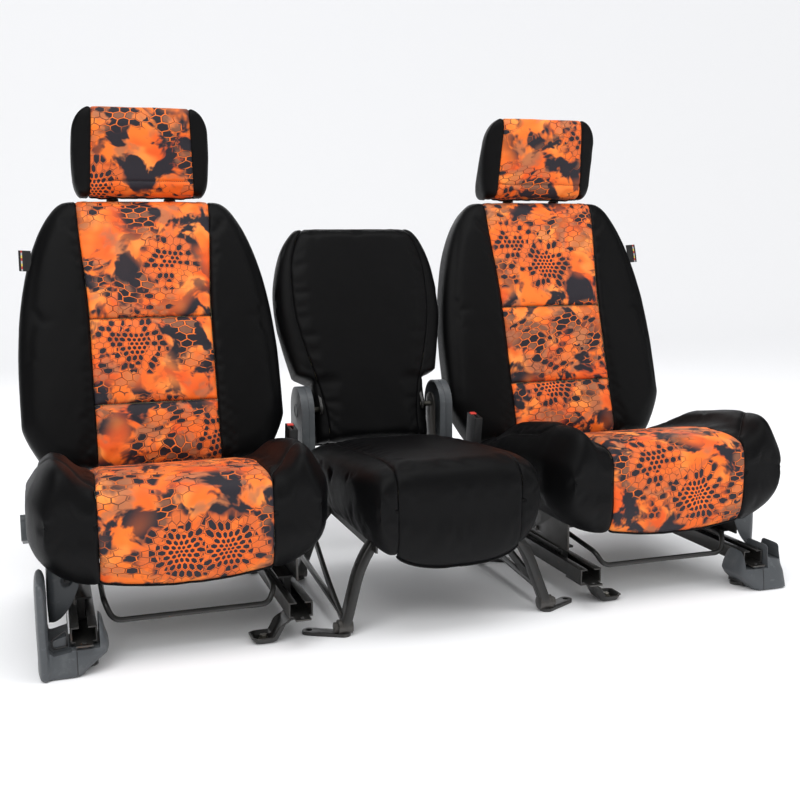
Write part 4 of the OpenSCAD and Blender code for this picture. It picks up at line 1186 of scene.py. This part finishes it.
def side_shield(person, side):
    """Outboard shield: a thin shell along the seat's side that turns its front corner to a hanging tip."""
    outer_x, front_y, bend = 241.0, -133.0, 13.0
    a = np.linspace(0, math.pi / 2, 10)[1:]
    side_y = np.concatenate([np.linspace(328, -60, 66), np.linspace(-63, front_y + bend, 20)])
    path = [(outer_x, y) for y in side_y]
    path += list(zip(outer_x - bend + bend * np.cos(a), front_y + bend - bend * np.sin(a)))
    path += [(x, front_y) for x in np.linspace(outer_x - bend - 2, 178, 26)]
    v = np.linspace(-1, 1, 34)
    crown = 1.6 * (1 - v ** 2)
    rows = []
    for x, y in path:
        rear = round_in(unit((y - 306) / 22.0)) if y > 306 else 1.0
        low = mix(104, 64, smooth((-52 - y) / 62.0))
        d = max(0.0, outer_x - x)
        if y <= front_y + bend:
            low += 4 + 94 * unit(d / 63.0) ** 2.3
        high = mix(163, 168, smooth((-90 - y) / 30.0))
        close = round_in(unit((d - 52) / 11.5)) if d > 52 else 1.0
        middle = (low + high) / 2 if d <= 52 else 157
        half = (high - low) / 2 * rear * max(close, 0.02)
        z = middle + half * v
        px, py = np.full(34, x), np.full(34, y)
        if y > front_y + 1:
            px = px + crown
        else:
            py = py - crown * 0.6 + 5.5 * smooth((10.5 - np.hypot(px - 209, z - 140)) / 3.2)
        rows.append(np.stack([px, py, z], -1))
    grid = np.array(rows)
    name = f"{person}_shield_shell"
    shell = grid_mesh(name, [(grid, grid[..., 1:], OUT)], side)
    obj = link(name, shell, "grey_plastic", f"{person}_seat", f"{person}_side_shield")
    rolled_edges(thicken(obj, 3.0), 0.8, 2, 50)
    centre = place([(209, front_y + 3.2, 140)], side)[0]
    meshes = [screw(centre, (0, -1, 0), 3.6)]
    for y in (120, 290):
        meshes.append(screw(place([(outer_x + 1.2, y, 134)], side)[0], (side, 0, 0), 3.0))
    link(f"{person}_shield_screws", join_meshes("screws", meshes), "black_plastic", f"{person}_seat")


def blended(name, meshes, voxel, rounds):
    """Fuses closed meshes into one moulded form with soft inner corners."""
    obj = add(name, join_meshes(name, meshes))
    remesh = obj.modifiers.new("Voxels", "REMESH")
    remesh.mode, remesh.voxel_size, remesh.use_smooth_shade = "VOXEL", voxel * MM, True
    soften = obj.modifiers.new("Soften", "SMOOTH")
    soften.factor, soften.iterations = 0.5, rounds
    return obj


def bake(obj):
    """Applies an object's modifiers to its mesh."""
    final = bpy.data.meshes.new_from_object(obj.evaluated_get(bpy.context.evaluated_depsgraph_get()))
    obj.modifiers.clear()
    old = obj.data
    obj.data = final
    bpy.data.meshes.remove(old)
    return obj


def cut(obj, mesh):
    tool = add("tool", mesh)
    boolean = obj.modifiers.new("Cut", "BOOLEAN")
    boolean.operation, boolean.object, boolean.solver = "DIFFERENCE", tool, "EXACT"
    bake(obj)
    bpy.data.objects.remove(tool)
    bpy.data.meshes.remove(mesh)


# Levels of the boots: height, middle in x and y, half size in x and y
PASSENGER_BOOT = [(0.3, 224, -176, 37, 50), (14, 218, -176, 44, 50), (34, 204, -177, 57, 47),
                  (46, 203, -178, 58, 43), (66, 205, -180, 54, 38), (86, 206, -181, 51, 35),
                  (90, 206, -181, 49, 32)]
PASSENGER_WALL = [(0.3, 250, -162, 11, 70), (30, 251, -163, 10.5, 69), (80, 252.3, -166, 9.8, 67),
                  (130, 252.5, -170, 9.6, 64), (152, 252.7, -174, 9.2, 60), (161, 253.2, -176, 7.5, 56),
                  (165, 253.5, -178, 5, 50)]
DRIVER_BOOT = [(0.3, 222, -178, 40, 50), (20, 210, -178, 50, 48), (34, 204, -179, 54, 45),
               (50, 202, -180, 50, 41), (76, 204, -182, 44, 36), (88, 205, -183, 42, 34),
               (92, 205, -183, 39, 31)]
DRIVER_TOE = [(0.3, 236, -190, 26, 30), (16, 236, -190, 25.5, 29), (34, 232, -188, 22, 26),
              (48, 226, -186, 15, 20)]
TRACK = [(161, 46), (211, 46), (211, 130), (161, 130)]
SLOT = [(212, 68), (232, 62), (243.3, 60), (243.3, 118), (212, 118)]
RECESS = [(207, 44), (236, 40), (243, 47), (244, 66), (212, 86), (207, 80)]
BRACKET = [(214, 50), (234, 47), (238, 52), (238, 64), (216, 77), (213, 72), (214, 50)]


def foot_cover(person, side):
    """Plastic boot: a flared base with a slot for the shield's tip, and by the passenger a tall wall."""
    if side < 0:
        solids = [ring_stack(PASSENGER_BOOT), ring_stack(PASSENGER_WALL, 56, 0.6)]
    else:
        solids = [ring_stack(DRIVER_BOOT), ring_stack(DRIVER_TOE, 40, 0.6)]
    boot = bake(blended(f"{person}_boot", solids, 3.0, 4))
    cut(boot, prism(TRACK, -260, -60))
    cut(boot, prism(SLOT, -260, -60))
    if side < 0:
        cut(boot, prism(RECESS, -260, -204))
    for v in boot.data.vertices:
        v.co.z = max(v.co.z, 0.0003)
    mesh = boot.data
    if side < 0:
        mesh.transform(Matrix.Diagonal((-1, 1, 1, 1)))
        mesh.flip_normals()
    mesh.transform(Matrix.Translation((side * PITCH * MM, 0, 0)))
    shade_smooth(mesh, 38)
    mesh.materials.clear()
    mesh.materials.append(FINISH["grey_plastic"])
    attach(boot, "base")
    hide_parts("foot_covers")
    boot_seam(person, side, boot)
    if side < 0:
        y = -206
        loop = [(x, y, z) for x, z in BRACKET]
        bracket = tube_mesh(place(rounded_path(loop, 4), side), 1.8, 10)
        link(f"{person}_boot_bracket", bracket, "black_plastic", "base")


def boot_seam(person, side, boot):
    """The parting line down a boot's front, found by looking at the boot from the front."""
    bpy.context.view_layer.update()
    line = []
    for z in np.linspace(3, 78, 40):
        start = place([(199, -320, z)], side)[0]
        hit, point, _, _ = boot.ray_cast(Vector(start), Vector(REAR))
        if hit and point.y < -0.19:
            line.append(point)
    link(f"{person}_boot_seam", tube_mesh(line, 0.75, 8), "black_plastic", "base")


def stamped_foot(person, side):
    """Front inner foot: a pressed channel that steps down from the track to a base with an upturned lip."""
    spine = rounded_path([(-200, 0, 46), (-168, 0, 46), (-152, 0, 16), (-144, 0, 3.2), (-102, 0, 3.2)], 14, 8)
    walk = walked(spine)
    at = np.linspace(0, walk[-1], 56)
    x, z = np.interp(at, walk, spine[:, 0]), np.interp(at, walk, spine[:, 2])
    slope = np.stack([np.gradient(x), np.gradient(z)], -1)
    slope /= length(slope)[:, None]
    v = np.linspace(-1, 1, 23)
    rows = []
    for k in range(len(at)):
        t = at[k] / walk[-1]
        toe = unit((t - 0.86) / 0.14)
        half = mix(32, 24, smooth(t * 1.6)) * mix(1, 0.72, toe ** 2)
        lip = 9 * smooth((np.abs(v) - 0.74) / 0.26) * smooth((t - 0.28) * 6) + 9 * smooth((t - 0.90) / 0.09)
        lip = np.minimum(lip, 9.0)
        rows.append(np.stack([x[k] - slope[k, 1] * lip, -157 + half * v, z[k] + slope[k, 0] * lip], -1))
    grid = np.array(rows)
    name = f"{person}_stamped_foot"
    obj = link(name, grid_mesh(name, [(grid, grid[..., :2], UP)], side), "black_steel", "base")
    rolled_edges(thicken(obj, 3.2), 0.9, 2, 55)
    head = [(3, 9), (4.5, 9.4), (4.6, 7.2), (10, 7.2), (11, 6.4)]
    bolt = lathe(head, place([(-126, -157, 0.6)], side)[0], UP, 6)
    link(f"{person}_foot_bolt", bolt, "zinc_steel", "base")


def other_feet():
    """The CAD feet without the front inner ones, which the stamped feet stand for."""
    source = frame["nodes"]["rail_feet"]
    bm = bmesh.new()
    bm.from_mesh(source.data)
    bmesh.ops.remove_doubles(bm, verts=bm.verts, dist=WELD)
    gone = []
    for face in bm.faces:
        middle = face.calc_center_median()
        if middle.y < -0.1 and (PITCH - 250) * MM < abs(middle.x) < (PITCH - 60) * MM:
            gone.append(face)
    bmesh.ops.delete(bm, geom=gone, context="FACES")
    mesh = bpy.data.meshes.new("outer_and_rear_feet")
    bm.to_mesh(mesh)
    bm.free()
    rolled_edges(link("outer_and_rear_feet", mesh, "black_steel", "base", "rail_feet"), 1.0, 2, 32)


def centre_legs():
    """Box-section legs over the centre frame's rods, flat braces, and pivot bosses at the floor plates."""
    meshes, bosses = [], []
    for s in (-1, 1):
        for end in (-1, 1):
            leg = [(s * 128, end * 150, 176), (s * 168, end * 162, 122), (s * 203, end * 180, 14)]
            meshes.append(bar(rounded_path(leg, 30) * MM, REAR, 14, 9.5))
            centre = np.array([s * 203, end * 180, 16]) * MM
            bosses.append(lathe([(-15, 12), (-14, 13.5), (12, 13.5), (13, 12)], centre, (s, 0, 0), 28))
            bosses.append(lathe([(13, 9.5), (19, 9.5), (20, 8.5)], centre, (s, 0, 0), 6))
        brace = rounded_path([(s * 205, -172, 30), (s * 200, -60, 62), (s * 188, 172, 150)], 60)
        meshes.append(bar(brace * MM, UP, 9, 3.5))
    link("center_box_legs", join_meshes("legs", meshes), "black_steel", "base")
    link("center_leg_pivots", join_meshes("pivots", bosses), "black_steel", "base")


def towel_bar(person, side):
    x, end = 150, 202
    corners = [(end, 10, 110), (x, 10, 110), (x - 1, -152, 104), (x - 14, -165, 71),
               (14 - x, -165, 71), (1 - x, -152, 96), (-x, 10, 110), (-end, 10, 110)]
    rod = tube_mesh(place(rounded_path(corners, 26), side), 5, 20)
    link(f"{person}_lift_bar", rod, "black_steel", f"{person}_towel_bar", f"{person}_towel_bar")


def cover_straps(person, side):
    """Elastic webbing under the pan with an open plastic hook at each end."""
    straps, hooks = [], []
    y = np.linspace(-183, 210, 60)
    sag = 171.8 + 0.9 * np.sin(y / 24) - 2.0 * np.sin(np.pi * (y + 183) / 393)
    for x in (-96, 96):
        rows = [np.stack([np.full(60, x + w), y, sag + 0.25 * np.cos(w)], -1) for w in (-11, -5, 0, 5, 11)]
        strap = np.stack(rows, 1)
        straps.append((strap, strap[..., :2], UP))
        for end, way in ((-184, -1), (206, 1)):
            loop = [(x - 13, end, 172), (x - 13, end + way * 7, 172), (x + 13, end + way * 7, 172),
                    (x + 13, end, 172), (x - 13, end, 172)]
            hook = [(x, end + way * 7, 172), (x, end + way * 12, 173), (x, end + way * 14, 177),
                    (x, end + way * 10, 180)]
            hooks += [tube_mesh(place(rounded_path(path, 3), side), 1.7, 10) for path in (loop, hook)]
    name = f"{person}_elastic_straps"
    obj = link(name, grid_mesh(name, straps, side), "strap_web", f"{person}_seat", f"{person}_cover_straps")
    thicken(obj, 1.5)
    link(f"{person}_strap_hooks", join_meshes("hooks", hooks), "black_plastic", f"{person}_seat")


def label_tag(person, side):
    """A folded woven tag sewn into the outer seam. It carries plain stripes only."""
    s = np.linspace(500, 545, 12)
    profile = [(-1.2, 236), (-1.5, 250), (-1.2, 259), (0, 261.2), (1.2, 259), (1.5, 250), (1.2, 236)]
    rows = []
    for value in s:
        bend = 1.2 * math.sin((value - 500) / 15)
        rows.append([on_back(x + 2.5, value + 0.06 * (x - 236), 53 + n * 0.8 + bend) for n, x in profile])
    rows = np.array(rows)
    uv = np.stack([rows[..., 0], np.repeat(s[:, None], len(profile), 1)], -1)
    name = f"{person}_woven_tag"
    mesh = grid_mesh(name, [(rows, uv, FRONT)], side)
    link(name, mesh, "woven_tag", f"{person}_backrest", f"{person}_label_tag")


# ---------------------------------------------------------------- build
for person, side in SIDES.items():
    backrest_covers(person, side)
    cushion_covers(person, side)
    headrest_covers(person, side)
    foam(f"{person}_cushion_bun", cushion_pad, side, f"{person}_seat", f"{person}_cushion_foam", PAN_TOP)
    foam(f"{person}_back_bun", back_pad, side, f"{person}_backrest", f"{person}_back_foam")
    foam(f"{person}_headrest_bun", head_pad, side, f"{person}_headrest", f"{person}_headrest_foam")
    towel_bar(person, side)
    cover_straps(person, side)
    label_tag(person, side)
    side_shield(person, side)
    foot_cover(person, side)
    stamped_foot(person, side)
other_feet()
centre_legs()
centre_covers()
foam("center_cushion_bun", centre_cushion_pad, 0, "base", "center_cushion_foam", PAN_TOP)
foam("center_back_bun", centre_back_pad, 0, "center_backrest", "center_back_foam")
for node, obj in frame["nodes"].items():
    if not obj.hide_render:
        finish_cad(node, obj)


# ---------------------------------------------------------------- stage, light and camera
def stage():
    """A pale floor that curves up far behind the seats."""
    y = np.concatenate([np.linspace(-6, 5, 12), 5 + 3 * np.sin(np.linspace(0.1, math.pi / 2, 14)), [8]])
    z = np.concatenate([np.zeros(12), 3 - 3 * np.cos(np.linspace(0.1, math.pi / 2, 14)), [9]])
    x = np.linspace(-9, 9, 4)
    verts = [(a, b, c - 0.0005) for b, c in zip(y, z) for a in x]
    corners = [i * 4 + j for i in range(len(y) - 1) for j in range(3)]
    faces = [(k, k + 1, k + 5, k + 4) for k in corners]
    mesh = bpy.data.meshes.new("floor")
    mesh.from_pydata(verts, [], faces)
    shade_smooth(mesh)
    floor = add("floor", mesh)
    m = Shader("studio_floor", 0.9)
    m.set("Base Color", (0.90, 0.905, 0.92, 1.0))
    m.set("Specular IOR Level", 0.12)
    mesh.materials.append(m.material)


def softbox(name, position, target, size, power, shine):
    data = bpy.data.lights.new(name, "AREA")
    data.specular_factor = shine
    data.shape, data.size, data.size_y = "RECTANGLE", size[0], size[1]
    data.energy = power
    lamp = add(name, data)
    lamp.location = position
    way = Vector(target) - Vector(position)
    lamp.rotation_mode = "QUATERNION"
    lamp.rotation_quaternion = way.to_track_quat("-Z", "Y")


def world():
    """White surroundings that light the cloth but show only faintly in reflections."""
    w = bpy.data.worlds.new("studio")
    bpy.context.scene.world = w
    w.use_nodes = True
    nodes, links = w.node_tree.nodes, w.node_tree.links
    back = nodes["Background"]
    back.inputs[0].default_value = (1.0, 1.0, 1.0, 1.0)
    path = nodes.new("ShaderNodeLightPath")
    glossy = nodes.new("ShaderNodeMix")
    glossy.inputs[2].default_value, glossy.inputs[3].default_value = 1.0, 0.07
    links.new(path.outputs["Is Glossy Ray"], glossy.inputs[0])
    camera_ray = nodes.new("ShaderNodeMix")
    camera_ray.inputs[3].default_value = 1.0
    links.new(path.outputs["Is Camera Ray"], camera_ray.inputs[0])
    links.new(glossy.outputs[0], camera_ray.inputs[2])
    links.new(camera_ray.outputs[0], back.inputs[1])


def camera():
    """Eye level with the front edge of the cushions, left of the middle, looking slightly down."""
    yaw, pitch, roll = np.radians([18.361, 8.2125, -0.484]).tolist()
    position = (-0.7045, -2.0263, 0.7102)
    ahead = Vector((math.sin(yaw) * math.cos(pitch), math.cos(yaw) * math.cos(pitch), -math.sin(pitch)))
    right = Vector((math.cos(yaw), -math.sin(yaw), 0))
    up = right.cross(ahead)
    tilted_right = right * math.cos(roll) + up * math.sin(roll)
    tilted_up = up * math.cos(roll) - right * math.sin(roll)
    data = bpy.data.cameras.new("camera")
    data.lens, data.sensor_width = 48.82, 36
    eye = add("camera", data)
    turn = Matrix((tilted_right, tilted_up, -ahead)).transposed()
    eye.matrix_world = Matrix.Translation(position) @ turn.to_4x4()
    bpy.context.scene.camera = eye


stage()
world()
softbox("key", (-1.8, -2.2, 2.9), (0, 0.1, 0.5), (2.2, 1.4), 36, 0.35)
softbox("fill", (2.6, -1.8, 1.9), (0.2, 0.1, 0.5), (1.8, 1.8), 16, 0.35)
softbox("top", (0, -0.5, 3.0), (0, 0.2, 0.3), (3.2, 1.2), 34, 2.0)
softbox("rear", (0.5, 3.2, 2.2), (0, 0.3, 0.6), (2.6, 1.6), 18, 0.6)
camera()
bpy.context.scene.view_settings.view_transform = "Standard"
